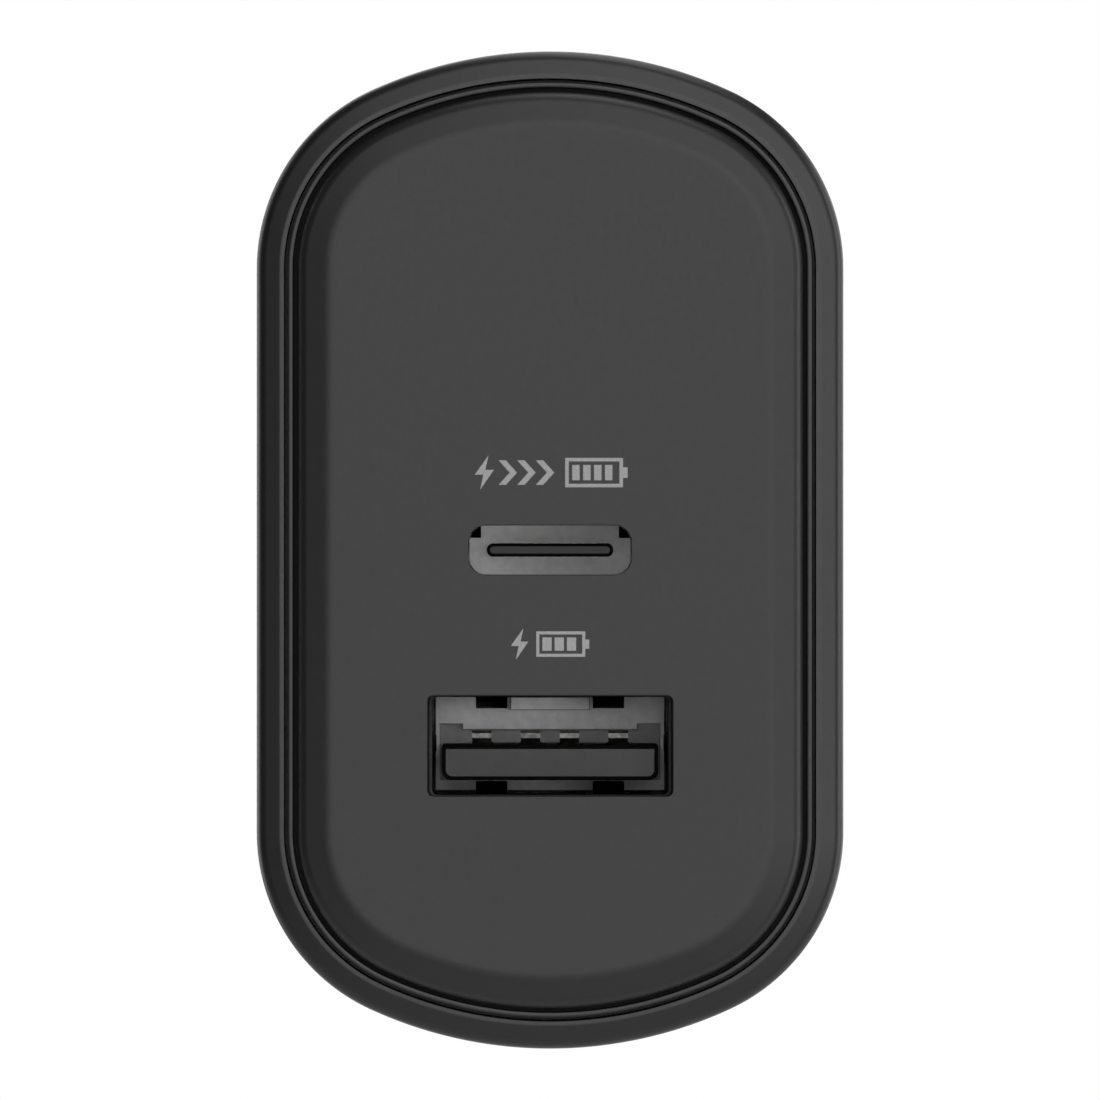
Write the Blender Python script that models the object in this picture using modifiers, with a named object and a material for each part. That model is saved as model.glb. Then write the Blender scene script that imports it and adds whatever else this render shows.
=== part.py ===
"""A compact two-port USB wall charger with a folding two-blade mains plug.

The charger is an assembly of separate named pieces: the outer case, the folding plug and its
contacts, the mains board with its components, and the port board with the two USB sockets.

Frame: +Z is up, +X is to the right when looking at the ports, and +Y points into the wall.
The origin lies midway between the two blades, in the plane of the face that meets the wall.
All sizes below are in millimetres; MM turns them into the metres that Blender uses.
"""

import math

import bmesh
import bpy
from mathutils import Matrix, Vector

MM = 0.001

# Driving dimensions of the case. The outline is a wide arc at each end, blended into straight
# sides by a smaller arc.
BODY_WIDTH = 30.0
BODY_HEIGHT = 51.0
BODY_DEPTH = 45.0
END_RADIUS = 22.0
CORNER_RADIUS = 10.0
WALL = 2.0
FIT_GAP = 0.3
END_ARC_STEPS = 4
CORNER_ARC_STEPS = 7

# Folding plug, to the American two-blade pattern.
BLADE_SPACING = 12.7
BLADE_WIDTH = 6.35
BLADE_THICKNESS = 1.5
BLADE_REACH = 17.0
PIVOT_ABOVE_CENTRE = 8.0
PIVOT_DEPTH = 3.6
SHAFT_RADIUS = 1.2
HUB_RADIUS = 3.3
TAB_REACH = 4.9
TAB_HALF_WIDTH = 1.2

# Ports: the openings of a standard USB-C socket and a standard USB-A socket.
USB_C_OPENING = (8.34, 2.56)
USB_C_OPENING_RADIUS = 0.9
USB_A_OPENING = (12.5, 5.12)
USB_A_OPENING_RADIUS = 0.3
USB_A_BELOW_CENTRE = 10.0
SHEET = 0.3

# Depths, measured along Y from the wall face at 0 towards the ports.
PANEL_FRONT = -BODY_DEPTH
RIM_FRONT = PANEL_FRONT + 1.0
REAR_SEAM = -5.0
SOCKET_FRONT = PANEL_FRONT + 1.95
PORT_BOARD_FRONT = PANEL_FRONT + 14.2
PORT_BOARD_THICKNESS = 1.0
PORT_BOARD_REAR = PORT_BOARD_FRONT + PORT_BOARD_THICKNESS
SOCKET_REAR = PORT_BOARD_FRONT - FIT_GAP

# Front of the case: the rim of the sleeve, the seal ring and the slightly pillowed panel. Insets
# are measured inwards from the case outline.
RIM_EDGE = 1.25
EDGE_TILT = 13.0
RIM_INSET = 1.43
RING_INSET = (1.60, 1.87)
PANEL_INSET = 2.10
PANEL_EDGE = 3.93
LEDGE_Y = RIM_FRONT + 2.6

# Rear cover: its rounded edge, the spigot inside the sleeve, the slots that take the blades when
# they are folded, and the finger scoop across the blade tips.
COVER_THICKNESS = 2.0
COVER_FILLET = 2.5
SPIGOT_END = -8.6
SLOT_HALF_WIDTH = 1.15
SLOT_TOP = PIVOT_ABOVE_CENTRE + 3.6
SLOT_BOTTOM = PIVOT_ABOVE_CENTRE - PIVOT_DEPTH - BLADE_REACH - 0.6
SLOT_FLOOR = -7.2
FINGER_SCOOP = SLOT_BOTTOM + 3.7
WELL_WALL = 1.0
HUB_OPENING_HALF = (1.95, 3.65)

# Bearings of the folding plug, and the retainer that closes them from inside the case.
BEARING_X = (8.9, 10.3)
BEARING_HALF_HEIGHT = 2.6
BEARING_JOINT = -PIVOT_DEPTH - 0.75
SCREW_PLACES = ((-9.4, 14.2), (9.4, 14.2), (0.0, 1.0))
SCREW_RADIUS = 0.75
BOSS_RADIUS = 1.6
RETAINER_FRONT = -10.2
RETAINER_BACK = -9.2
DETENT_POSTS = (PIVOT_ABOVE_CENTRE - 4.2, PIVOT_ABOVE_CENTRE + 4.2)

# Main board: an upright board along the left wall. Its parts stand on the side that faces right.
MAIN_BOARD_LEFT = -11.0
MAIN_BOARD_RIGHT = -9.8
MAIN_BOARD_HALF_HEIGHT = 18.6
MAIN_BOARD_FRONT = -36.6
MAIN_BOARD_BACK = -12.2
STANDING = MAIN_BOARD_RIGHT + FIT_GAP
LEG_RADIUS = 0.3
TRANSFORMER = (-21.2, -9.2)
CORE_BASE = STANDING + 0.8
BOARD_SLOTS = ((-12.6, -10.0), (0.6, 3.2))

# Port board with its two sockets. Each socket has a shell of folded sheet, a moulded insulator
# with a tongue, and, for the larger socket, four grip fingers and four contacts.
PORT_BOARD_EDGES = (-9.5, 10.4, -16.2, 5.6)
SHELL_LEG = (1.6, 1.8)
TONGUE_TIP = SOCKET_FRONT + 0.65
USB_A_SHELL_OPENING = (USB_A_OPENING[0] - 0.5, USB_A_OPENING[1] - 0.12)
USB_A_LEG_X = USB_A_SHELL_OPENING[0] / 2 + SHEET * 0.5
USB_A_TONGUE = (11.06, 1.78)
USB_A_BASE_FRONT = SOCKET_FRONT + 8.6
USB_A_PINS = (-3.5, -1.0, 1.0, 3.5)
USB_A_PIN_HEIGHT = -0.3
FINGER_X = 3.0
FINGER_WIDTH = 1.6
FINGER_REACH = 0.62
USB_C_LEG_X = USB_C_OPENING[0] / 2 + SHEET * 0.5
USB_C_TONGUE = (6.48, 0.7)
USB_C_BASE_FRONT = SOCKET_FRONT + 6.2

# Snap hooks join the front panel and the rear cover to the sleeve, two on each long side.
SNAP_HEIGHTS = (-9.0, 9.0)
SNAP_WIDTH = 5.0
FRONT_HOOK_Y = RIM_FRONT + 5.7
REAR_HOOK_Y = REAR_SEAM - 4.6

SIDES = (-1, 1)


# ---------------------------------------------------------------------------- scene and finishes


def clear_scene():
    for obj in list(bpy.data.objects):
        bpy.data.objects.remove(obj, do_unlink=True)


def new_collection(name):
    collection = bpy.data.collections.new(name)
    bpy.context.scene.collection.children.link(collection)
    return collection


def new_empty(name, location, parent=None):
    empty = bpy.data.objects.new(name, None)
    empty.location = Vector(location) * MM
    empty.parent = parent
    PARTS.objects.link(empty)
    return empty


def finish(name, colour, roughness, metallic=0.0):
    """A plain Principled material, made once and shared."""
    material = bpy.data.materials.get(name) or bpy.data.materials.new(name)
    material.use_nodes = True
    shader = material.node_tree.nodes["Principled BSDF"]
    shader.inputs["Base Color"].default_value = (*colour, 1.0)
    shader.inputs["Roughness"].default_value = roughness
    shader.inputs["Metallic"].default_value = metallic
    material.diffuse_color = (*colour, 1.0)
    return material


clear_scene()
PARTS = new_collection("usb_wall_charger")
CUTTERS = new_collection("cutters")
BODY = new_empty("body_centre", (0, 0, -PIVOT_ABOVE_CENTRE))
PIVOT = new_empty("prong_pivot", (0, -PIVOT_DEPTH, 0))

CASE = finish("case_plastic", (0.055, 0.055, 0.056), 0.42)
PANEL = finish("panel_plastic", (0.06, 0.06, 0.061), 0.5)
RING = finish("ring_plastic", (0.06, 0.06, 0.061), 0.3)
CARRIER = finish("carrier_plastic", (0.03, 0.03, 0.03), 0.45)
BLADE = finish("nickel_plate", (0.72, 0.70, 0.66), 0.25, 1.0)
BRONZE = finish("phosphor_bronze", (0.66, 0.46, 0.27), 0.35, 1.0)
STEEL = finish("screw_steel", (0.55, 0.56, 0.58), 0.35, 1.0)
SHELL = finish("socket_shell", (0.42, 0.42, 0.43), 0.35, 1.0)
SOCKET = finish("socket_plastic", (0.06, 0.06, 0.061), 0.5)
GOLD = finish("contact_gold", (0.83, 0.66, 0.33), 0.25, 1.0)
BOARD = finish("circuit_board", (0.03, 0.16, 0.08), 0.5)
CHIP = finish("chip_package", (0.02, 0.02, 0.022), 0.55)
CAN = finish("capacitor_sleeve", (0.04, 0.05, 0.09), 0.35)
ALUMINIUM = finish("aluminium", (0.75, 0.76, 0.78), 0.35, 1.0)
FERRITE = finish("ferrite", (0.07, 0.07, 0.075), 0.7)
BOBBIN = finish("bobbin_plastic", (0.05, 0.04, 0.035), 0.5)
TAPE = finish("transformer_tape", (0.80, 0.62, 0.10), 0.45)
COPPER = finish("copper_wire", (0.72, 0.30, 0.12), 0.35, 1.0)
X_CAP = finish("yellow_box", (0.75, 0.60, 0.12), 0.4)
BLUE = finish("blue_epoxy", (0.05, 0.20, 0.50), 0.4)
GREEN = finish("thermistor_coat", (0.03, 0.12, 0.07), 0.5)
FILM = finish("insulation_film", (0.20, 0.20, 0.19), 0.4)
LINE_WIRE = finish("line_wire", (0.35, 0.03, 0.02), 0.5)
NEUTRAL_WIRE = finish("neutral_wire", (0.03, 0.03, 0.03), 0.5)


# ------------------------------------------------------------------------------- making of solids


def place(obj, material, parent):
    obj.data.materials.clear()
    obj.data.materials.append(material)
    obj.parent = parent
    PARTS.objects.link(obj)
    return obj


def from_bmesh(name, bm, material, parent, smooth_angle=40.0):
    bmesh.ops.recalc_face_normals(bm, faces=bm.faces)
    mesh = bpy.data.meshes.new(name)
    bm.to_mesh(mesh)
    bm.free()
    mesh.shade_smooth()
    mesh.set_sharp_from_angle(angle=math.radians(smooth_angle))
    return place(bpy.data.objects.new(name, mesh), material, parent)


def box(name, low, high, material=CASE, parent=BODY, bevel=0.0):
    """A block between two corners, with its edges rounded or chamfered by bevel."""
    low, high = Vector(low), Vector(high)
    bm = bmesh.new()
    bmesh.ops.create_cube(bm, size=1.0)
    bmesh.ops.scale(bm, vec=(high - low) * MM, verts=bm.verts)
    obj = from_bmesh(name, bm, material, parent, 30.0)
    obj.location = (low + high) / 2 * MM
    if bevel:
        modifier = obj.modifiers.new("edge", "BEVEL")
        modifier.width = bevel * MM
        modifier.segments = 1
    return obj


AXIS_TURN = {
    "X": Matrix.Rotation(math.radians(90), 4, "Y"),
    "Y": Matrix.Rotation(math.radians(-90), 4, "X"),
    "Z": Matrix.Identity(4),
}


def cylinder(name, centre, radius, length, axis, material=CASE, parent=BODY, sides=16):
    """A rod along one axis, centred at a point."""
    bm = bmesh.new()
    bmesh.ops.create_cone(
        bm, cap_ends=True, segments=sides, radius1=radius * MM, radius2=radius * MM,
        depth=length * MM,
    )
    obj = from_bmesh(name, bm, material, parent)
    obj.matrix_basis = Matrix.Translation(Vector(centre) * MM) @ AXIS_TURN[axis]
    return obj


def turned(name, profile, base, axis, material, parent=BODY, steps=20):
    """A turned solid. The profile is (radius, height) from its top end down to its base, and it
    stands on the point base with its top towards +axis."""
    mesh = bpy.data.meshes.new(name)
    points = [(radius * MM, 0.0, height * MM) for radius, height in profile]
    mesh.from_pydata(points, [(i, i + 1) for i in range(len(points) - 1)], [])
    obj = place(bpy.data.objects.new(name, mesh), material, parent)
    screw = obj.modifiers.new("turn", "SCREW")
    screw.axis = "Z"
    screw.steps = steps
    screw.render_steps = steps
    screw.use_merge_vertices = True
    screw.merge_threshold = 0.00001
    obj.matrix_basis = Matrix.Translation(Vector(base) * MM) @ AXIS_TURN[axis]
    return obj


def loft(name, rings, material, parent=BODY, closed=False):
    """A skin over rings that have the same number of points. A closed loft joins its last ring
    to its first, like a tyre; an open one is capped at both ends."""
    bm = bmesh.new()
    loops = [[bm.verts.new(Vector(point) * MM) for point in ring] for ring in rings]
    pairs = list(zip(loops, loops[1:]))
    if closed:
        pairs.append((loops[-1], loops[0]))
    else:
        bm.faces.new(loops[0])
        bm.faces.new(loops[-1])
    for first, second in pairs:
        count = len(first)
        for i in range(count):
            j = (i + 1) % count
            bm.faces.new((first[i], first[j], second[j], second[i]))
    return from_bmesh(name, bm, material, parent)


PLANE_TURN = {
    "XZ": Matrix(((1, 0, 0, 0), (0, 0, -1, 0), (0, 1, 0, 0), (0, 0, 0, 1))),
    "YZ": Matrix(((0, 0, 1, 0), (1, 0, 0, 0), (0, 1, 0, 0), (0, 0, 0, 1))),
}
NORMAL = {"XZ": Vector((0, 1, 0)), "YZ": Vector((1, 0, 0))}


def plate(name, outlines, plane, low, high, material, parent=BODY):
    """A flat sheet in the XZ or YZ plane, from low to high across it. The first outline is its
    edge and the others are its holes."""
    curve = bpy.data.curves.new(name, "CURVE")
    curve.dimensions = "2D"
    curve.fill_mode = "BOTH"
    curve.extrude = (high - low) / 2 * MM
    for outline in outlines:
        spline = curve.splines.new("POLY")
        spline.points.add(len(outline) - 1)
        for point, (across, up) in zip(spline.points, outline):
            point.co = (across * MM, up * MM, 0.0, 1.0)
        spline.use_cyclic_u = True
    obj = place(bpy.data.objects.new(name, curve), material, parent)
    obj.matrix_basis = Matrix.Translation(NORMAL[plane] * (low + high) / 2 * MM) @ PLANE_TURN[plane]
    return obj


def wire(name, path, radius, material, parent=BODY, samples=3):
    """A round wire along a smooth curve through the points of path."""
    curve = bpy.data.curves.new(name, "CURVE")
    curve.dimensions = "3D"
    curve.bevel_depth = radius * MM
    curve.bevel_resolution = 2
    curve.use_fill_caps = True
    points = smooth_path(path, samples)
    spline = curve.splines.new("POLY")
    spline.points.add(len(points) - 1)
    for target, point in zip(spline.points, points):
        target.co = (*(point * MM), 1.0)
    return place(bpy.data.objects.new(name, curve), material, parent)


def smooth_path(path, samples):
    """Points on a Catmull-Rom curve through the points of path."""
    knots = [Vector(point) for point in path]
    knots = [2 * knots[0] - knots[1], *knots, 2 * knots[-1] - knots[-2]]
    points = []
    for a, b, c, d in zip(knots, knots[1:], knots[2:], knots[3:]):
        for step in range(samples):
            t = step / samples
            points.append(
                0.5 * (2 * b + (c - a) * t + (2 * a - 5 * b + 4 * c - d) * t**2
                       + (3 * b - a - 3 * c + d) * t**3)
            )
    return [*points, knots[-2]]


def as_mesh(obj):
    """A curve object made into a closed mesh object, so that a Boolean can take it."""
    if obj.type == "MESH":
        return obj
    bpy.context.view_layer.update()
    graph = bpy.context.evaluated_depsgraph_get()
    mesh = bpy.data.meshes.new_from_object(obj.evaluated_get(graph))
    bm = bmesh.new()
    bm.from_mesh(mesh)
    bmesh.ops.remove_doubles(bm, verts=bm.verts, dist=0.000001)
    bmesh.ops.recalc_face_normals(bm, faces=bm.faces)
    bm.to_mesh(mesh)
    bm.free()
    name, matrix, parent, material = obj.name, obj.matrix_basis.copy(), obj.parent, obj.data.materials[0]
    bpy.data.objects.remove(obj, do_unlink=True)
    solid = place(bpy.data.objects.new(name, mesh), material, parent)
    solid.matrix_basis = matrix
    return solid


def combine(target, tools, operation):
    """Joins tools to target, or cuts them from it, and returns target."""
    target = as_mesh(target)
    for tool in tools:
        tool = as_mesh(tool)
        PARTS.objects.unlink(tool)
        CUTTERS.objects.link(tool)
        tool.hide_render = True
        tool.display_type = "WIRE"
        modifier = target.modifiers.new(operation.lower(), "BOOLEAN")
        modifier.operation = operation
        modifier.solver = "EXACT"
        modifier.object = tool
    return target


def join(target, *tools):
    return combine(target, tools, "UNION")


def cut(target, *tools):
    return combine(target, tools, "DIFFERENCE")


# --------------------------------------------------------------------------------------- outlines


def arc(centre, radius, start, end, steps):
    """Points of an arc, its angles in degrees counter-clockwise from the first axis."""
    angles = [math.radians(start + (end - start) * i / steps) for i in range(steps + 1)]
    return [(centre[0] + radius * math.cos(a), centre[1] + radius * math.sin(a)) for a in angles]


def rectangle(low, high):
    return [(low[0], low[1]), (high[0], low[1]), (high[0], high[1]), (low[0], high[1])]


def rounded_rectangle(width, height, radius, centre=(0.0, 0.0), steps=4):
    x, z = width / 2 - radius, height / 2 - radius
    corners = ((x, z, 0), (-x, z, 90), (-x, -z, 180), (x, -z, 270))
    points = []
    for across, up, start in corners:
        middle = (centre[0] + across, centre[1] + up)
        points += arc(middle, radius, start, start + 90, steps)
    return points


def circle(centre, radius, sides=12):
    return arc(centre, radius, 0, 360 - 360 / sides, sides - 1)


def case_outline(inset=0.0):
    """The case's outline seen from the front, offset inwards by inset. All its arcs share their
    centres with those of the full outline, so the offset is even all the way round."""
    corner_x = BODY_WIDTH / 2 - CORNER_RADIUS
    end_z = BODY_HEIGHT / 2 - END_RADIUS
    rise = math.sqrt((END_RADIUS - CORNER_RADIUS) ** 2 - corner_x**2)
    meeting = math.degrees(math.atan2(rise, corner_x))
    corner = (corner_x, end_z + rise)
    right = arc(corner, CORNER_RADIUS - inset, 0, meeting, CORNER_ARC_STEPS)
    top = arc((0.0, end_z), END_RADIUS - inset, meeting, 90, END_ARC_STEPS)
    quarter = right + top[1:]
    half = quarter + [(-x, z) for x, z in reversed(quarter[:-1])]
    return half + [(x, -z) for x, z in reversed(half)]


def swept(name, profile, material, closed=False, parent=BODY):
    """A solid that follows the case's outline. The profile is (inset, y) points."""
    rings = [[(x, y, z) for x, z in case_outline(inset)] for inset, y in profile]
    return loft(name, rings, material, parent, closed)


def strip_outline(path, thickness):
    """The edge of a bent strip of even thickness whose middle follows path."""
    points = [Vector(point) for point in path]
    left, right = [], []
    for i, point in enumerate(points):
        before = (point - points[i - 1]).normalized() if i else None
        after = (points[i + 1] - point).normalized() if i + 1 < len(points) else None
        along = ((before or after) + (after or before)).normalized()
        normal = Vector((-along.y, along.x))
        across = Vector((-(before or after).y, (before or after).x))
        reach = thickness / 2 / normal.dot(across)
        left.append(tuple(point + normal * reach))
        right.append(tuple(point - normal * reach))
    return left + right[::-1]


def snap_hook(name, side, height, root, tip, hook, material):
    """A flexible arm beside the long wall, with a wedge at its tip that clips into the sleeve."""
    arm_out, arm_in, reach = BODY_WIDTH / 2 - 2.65, BODY_WIDTH / 2 - 3.55, BODY_WIDTH / 2 - 1.75
    low_z, high_z = height - SNAP_WIDTH / 2, height + SNAP_WIDTH / 2
    direction = 1 if tip > root else -1
    outline = [
        (side * arm_in, root),
        (side * arm_out, root),
        (side * arm_out, tip - direction * hook),
        (side * reach, tip - direction * hook),
        (side * reach, tip - direction * hook * 0.7),
        (side * arm_out, tip),
        (side * arm_in, tip),
    ]
    rings = [[(x, y, z) for x, y in outline] for z in (low_z, high_z)]
    return loft(name, rings, material)


def snap_window(name, side, height, centre_y):
    """A shallow pocket inside the sleeve's wall for one snap hook."""
    inner, depth, play = BODY_WIDTH / 2 - WALL, 0.75, 0.3
    across = sorted((side * (inner - 0.5), side * (inner + depth)))
    half = SNAP_WIDTH / 2 + play
    return box(
        name, (across[0], centre_y - 1.0, height - half), (across[1], centre_y + 1.0, height + half)
    )


# ------------------------------------------------------------------------------------------- case

def soft_edge(outer, inner, front, blend, steps):
    """An edge profile from the side to the front: a tight round, a shallow slope, and a blend
    into the flat front."""
    tilt, turn = math.radians(EDGE_TILT), 0.5
    tight, wide = turn / (1 - math.sin(tilt)), blend / math.sin(tilt)
    shoulder = front + wide * (1 - math.cos(tilt)) + (inner - outer - turn - blend) * math.tan(tilt)
    points = []
    for step in range(steps + 1):
        angle = math.pi / 2 + (tilt - math.pi / 2) * step / steps
        depth = tight * (math.cos(tilt) - math.cos(angle))
        points.append((outer + tight * (1 - math.sin(angle)), shoulder + depth))
    for share in (1.0, 0.5, 0.0):
        angle = tilt * share
        points.append((inner - wide * math.sin(angle), front + wide * (1 - math.cos(angle))))
    return points


def make_housing():
    """The sleeve: a tube with a rounded front rim and a ledge inside it for the trim ring."""
    seam, chamfer = REAR_SEAM - FIT_GAP, 0.25
    profile = [
        (chamfer, seam),
        (0.0, seam - chamfer),
        *soft_edge(0.0, RIM_EDGE, RIM_FRONT, 0.12, 4),
        (RIM_INSET, RIM_FRONT),
        (RIM_INSET, LEDGE_Y),
        (WALL, LEDGE_Y),
        (WALL, seam),
    ]
    housing = swept("housing", profile, CASE, closed=True)
    rails = [
        box(
            f"board_rail_{side}",
            (STANDING, MAIN_BOARD_FRONT, min(side * 17.8, side * 21.6)),
            (STANDING + 0.9, MAIN_BOARD_BACK - 4.8, max(side * 17.8, side * 21.6)),
        )
        for side in SIDES
    ]
    join(housing, *rails)
    windows = [
        snap_window(f"window_{side}_{height:.0f}_{-depth:.0f}", side, height, depth)
        for side in SIDES
        for height in SNAP_HEIGHTS
        for depth in (FRONT_HOOK_Y, REAR_HOOK_Y)
    ]
    return cut(housing, *windows)


def make_trim_ring():
    """A thin ring in the joint between the sleeve and the front panel; its flange is clamped."""
    outer, inner = RING_INSET
    front, flange_front, rear = RIM_FRONT + 0.1, RIM_FRONT + 1.5, LEDGE_Y - FIT_GAP
    flange = 2.45
    profile = [
        (outer, front),
        (inner, front),
        (inner, flange_front),
        (flange, flange_front),
        (flange, rear),
        (outer, rear),
    ]
    return swept("trim_ring", profile, RING, closed=True)


def make_front_panel():
    """The pillow-shaped port panel: a dished moulding with two openings and four snap hooks."""
    pocket, base = PANEL_FRONT + 1.8, RIM_FRONT + 1.2
    pillow = soft_edge(PANEL_INSET, PANEL_EDGE, PANEL_FRONT, 0.48, 4)
    profile = [*pillow[::-1], (PANEL_INSET, base), (3.6, base), (3.6, pocket)]
    panel = swept("front_panel", profile, PANEL)
    hooks = [
        snap_hook(f"panel_hook_{side}_{height:.0f}", side, height, pocket - 0.4, FRONT_HOOK_Y + 0.7,
                  1.4, PANEL)
        for side in SIDES
        for height in SNAP_HEIGHTS
    ]
    join(panel, *hooks)
    through = (PANEL_FRONT - 1.0, PANEL_FRONT + 3.0)
    usb_c = rounded_rectangle(*USB_C_OPENING, USB_C_OPENING_RADIUS)
    usb_a = rounded_rectangle(*USB_A_OPENING, USB_A_OPENING_RADIUS, (0.0, -USB_A_BELOW_CENTRE), 3)
    return cut(
        panel,
        plate("usb_c_opening", [usb_c], "XZ", *through, PANEL),
        plate("usb_a_opening", [usb_a], "XZ", *through, PANEL),
    )


# ------------------------------------------------------------------------------------ rear cover

def blade_x(side):
    return side * BLADE_SPACING / 2


def between(first, second, low, high):
    """The two corners of a block whose X limits may come in either order."""
    return (min(first, second), low[0], low[1]), (max(first, second), high[0], high[1])


def make_rear_cover():
    """The cover that meets the wall: a cup with a spigot, two blade wells, two half bearings for
    the plug's shaft, and three bosses for the retainer's screws."""
    fillet = arc((COVER_FILLET, -COVER_FILLET), COVER_FILLET, 90, 180, 5)
    chamfer, spigot_out, spigot_in = 0.25, WALL + FIT_GAP, WALL + FIT_GAP + 1.0
    profile = [
        *fillet,
        (0.0, REAR_SEAM + chamfer),
        (chamfer, REAR_SEAM),
        (spigot_out, REAR_SEAM),
        (spigot_out, SPIGOT_END),
        (spigot_in, SPIGOT_END),
        (spigot_in, -COVER_THICKNESS),
    ]
    cover = swept("rear_cover", profile, CASE)
    inside = -COVER_THICKNESS + 0.5
    added, removed = [], []
    for side in SIDES:
        middle = blade_x(side)
        half = SLOT_HALF_WIDTH + WELL_WALL
        added.append(
            box(f"well_{side}", (middle - half, SLOT_FLOOR - WELL_WALL, SLOT_BOTTOM - WELL_WALL),
                (middle + half, inside, PIVOT_ABOVE_CENTRE - 4.0))
        )
        low = (BEARING_JOINT + FIT_GAP, PIVOT_ABOVE_CENTRE - BEARING_HALF_HEIGHT)
        high = (inside, PIVOT_ABOVE_CENTRE + BEARING_HALF_HEIGHT)
        added.append(box(f"bearing_{side}", *between(side * BEARING_X[0], side * BEARING_X[1], low, high)))
        removed.append(
            box(f"slot_{side}", (middle - SLOT_HALF_WIDTH, SLOT_FLOOR, SLOT_BOTTOM),
                (middle + SLOT_HALF_WIDTH, 1.0, SLOT_TOP))
        )
        across, up = HUB_OPENING_HALF
        removed.append(
            box(f"hub_opening_{side}", (middle - across, SLOT_FLOOR - 2.0, PIVOT_ABOVE_CENTRE - up),
                (middle + across, 1.0, PIVOT_ABOVE_CENTRE + up))
        )
        low = (BEARING_JOINT - 1.0, PIVOT_ABOVE_CENTRE - SHAFT_RADIUS - 0.1)
        high = (-PIVOT_DEPTH, PIVOT_ABOVE_CENTRE + SHAFT_RADIUS + 0.1)
        removed.append(box(f"saddle_mouth_{side}", *between(side * 8.5, side * 10.8, low, high)))
        removed.append(
            cylinder(f"saddle_{side}", (side * 9.65, -PIVOT_DEPTH, PIVOT_ABOVE_CENTRE),
                     SHAFT_RADIUS + 0.1, 2.2, "X")
        )
        for height in SNAP_HEIGHTS:
            added.append(
                snap_hook(f"cover_hook_{side}_{height:.0f}", side, height, SPIGOT_END + 1.0,
                          REAR_HOOK_Y - 0.7, 1.4, CASE)
            )
    length = inside - SPIGOT_END
    for number, (x, z) in enumerate(SCREW_PLACES):
        added.append(cylinder(f"boss_{number}", (x, inside - length / 2, z), BOSS_RADIUS, length, "Y"))
        removed.append(
            cylinder(f"boss_hole_{number}", (x, SPIGOT_END + 2.0, z), SCREW_RADIUS + 0.2, 5.5, "Y",
                     sides=12)
        )
    removed.append(cylinder("finger_scoop", (0.0, 7.7, FINGER_SCOOP), 9.0, 19.4, "X", sides=32))
    join(cover, *added)
    return cut(cover, *removed)


# ------------------------------------------------------------------------------------ folding plug


def make_prong_carrier():
    """The moulded shaft that both blades are held in: a rod with two cheeks beside each blade,
    and a square cam in the middle that the detent spring holds flat."""
    cheek, slot, end = 0.8, BLADE_THICKNESS / 2 + 0.1, 10.6
    steps = []
    for side in (1, -1):
        middle = blade_x(side)
        for edge in (1, -1):
            outer, inner = sorted((middle + edge * (slot + cheek), middle + edge * slot), reverse=True)
            steps += [(SHAFT_RADIUS, outer), (HUB_RADIUS, outer), (HUB_RADIUS, inner),
                      (SHAFT_RADIUS, inner)]
    profile = [(0.0, end), (SHAFT_RADIUS, end), *steps, (SHAFT_RADIUS, -end), (0.0, -end)]
    carrier = turned("prong_carrier", profile, (0, 0, 0), "X", CARRIER, PIVOT, 24)
    cam = box("detent_cam", (-2.4, -1.25, -1.25), (2.4, 1.25, 1.25), CARRIER, PIVOT, 0.4)
    return join(carrier, cam)


def make_blade(name, side):
    """A plated blade: flat, with a chamfered tip, a hole near it, and a rounded root with the
    contact tab behind the pivot."""
    half, tip = BLADE_WIDTH / 2, BLADE_REACH + PIVOT_DEPTH
    taper, slope = 1.1, 1.8
    root_angle = math.degrees(math.asin(TAB_HALF_WIDTH / half))
    tab_angle = math.degrees(math.asin(TAB_HALF_WIDTH / TAB_REACH))
    outline = [
        (tip, half - taper),
        (tip - slope, half),
        *arc((0, 0), half, 90, 180 - root_angle, 5),
        *arc((0, 0), TAB_REACH, 180 - tab_angle, 180 + tab_angle, 3),
        *arc((0, 0), half, 180 + root_angle, 270, 5),
        (tip - slope, -half),
        (tip, -half + taper),
    ]
    hole = circle((PIVOT_DEPTH + 11.9, 0.0), 1.6, 16)
    pivot_hole = circle((0.0, 0.0), SHAFT_RADIUS + 0.15, 20)
    low, high = blade_x(side) - BLADE_THICKNESS / 2, blade_x(side) + BLADE_THICKNESS / 2
    return plate(name, [outline, hole, pivot_hole], "YZ", low, high, BLADE, PIVOT)


def make_prong_retainer():
    """The inner bracket that closes the shaft's bearings and carries the contact springs."""
    edge = rounded_rectangle(22.0, 17.2, 2.0, (0.0, 7.6), 3)
    windows = [
        rectangle((blade_x(side) - 1.9, 2.6), (blade_x(side) + 1.9, 12.9)) for side in SIDES
    ]
    holes = [circle(place_xz, SCREW_RADIUS + 0.2) for place_xz in SCREW_PLACES]
    retainer = plate("prong_retainer", [edge, *windows, *holes], "XZ", RETAINER_FRONT,
                     RETAINER_BACK, CARRIER)
    added, removed = [], []
    sunk = RETAINER_FRONT + 0.5
    for side in SIDES:
        low = (sunk, PIVOT_ABOVE_CENTRE - BEARING_HALF_HEIGHT)
        high = (BEARING_JOINT, PIVOT_ABOVE_CENTRE + BEARING_HALF_HEIGHT)
        added.append(
            box(f"clamp_{side}", *between(side * BEARING_X[0], side * BEARING_X[1], low, high))
        )
        removed.append(
            cylinder(f"clamp_saddle_{side}", (side * 9.65, -PIVOT_DEPTH, PIVOT_ABOVE_CENTRE),
                     SHAFT_RADIUS + 0.1, 2.2, "X")
        )
    for number, height in enumerate(DETENT_POSTS):
        added.append(
            box(f"detent_post_{number}", (-2.4, sunk, height - 0.9), (2.4, -5.9, height + 0.9))
        )
    return cut(join(retainer, *added), *removed)


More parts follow.
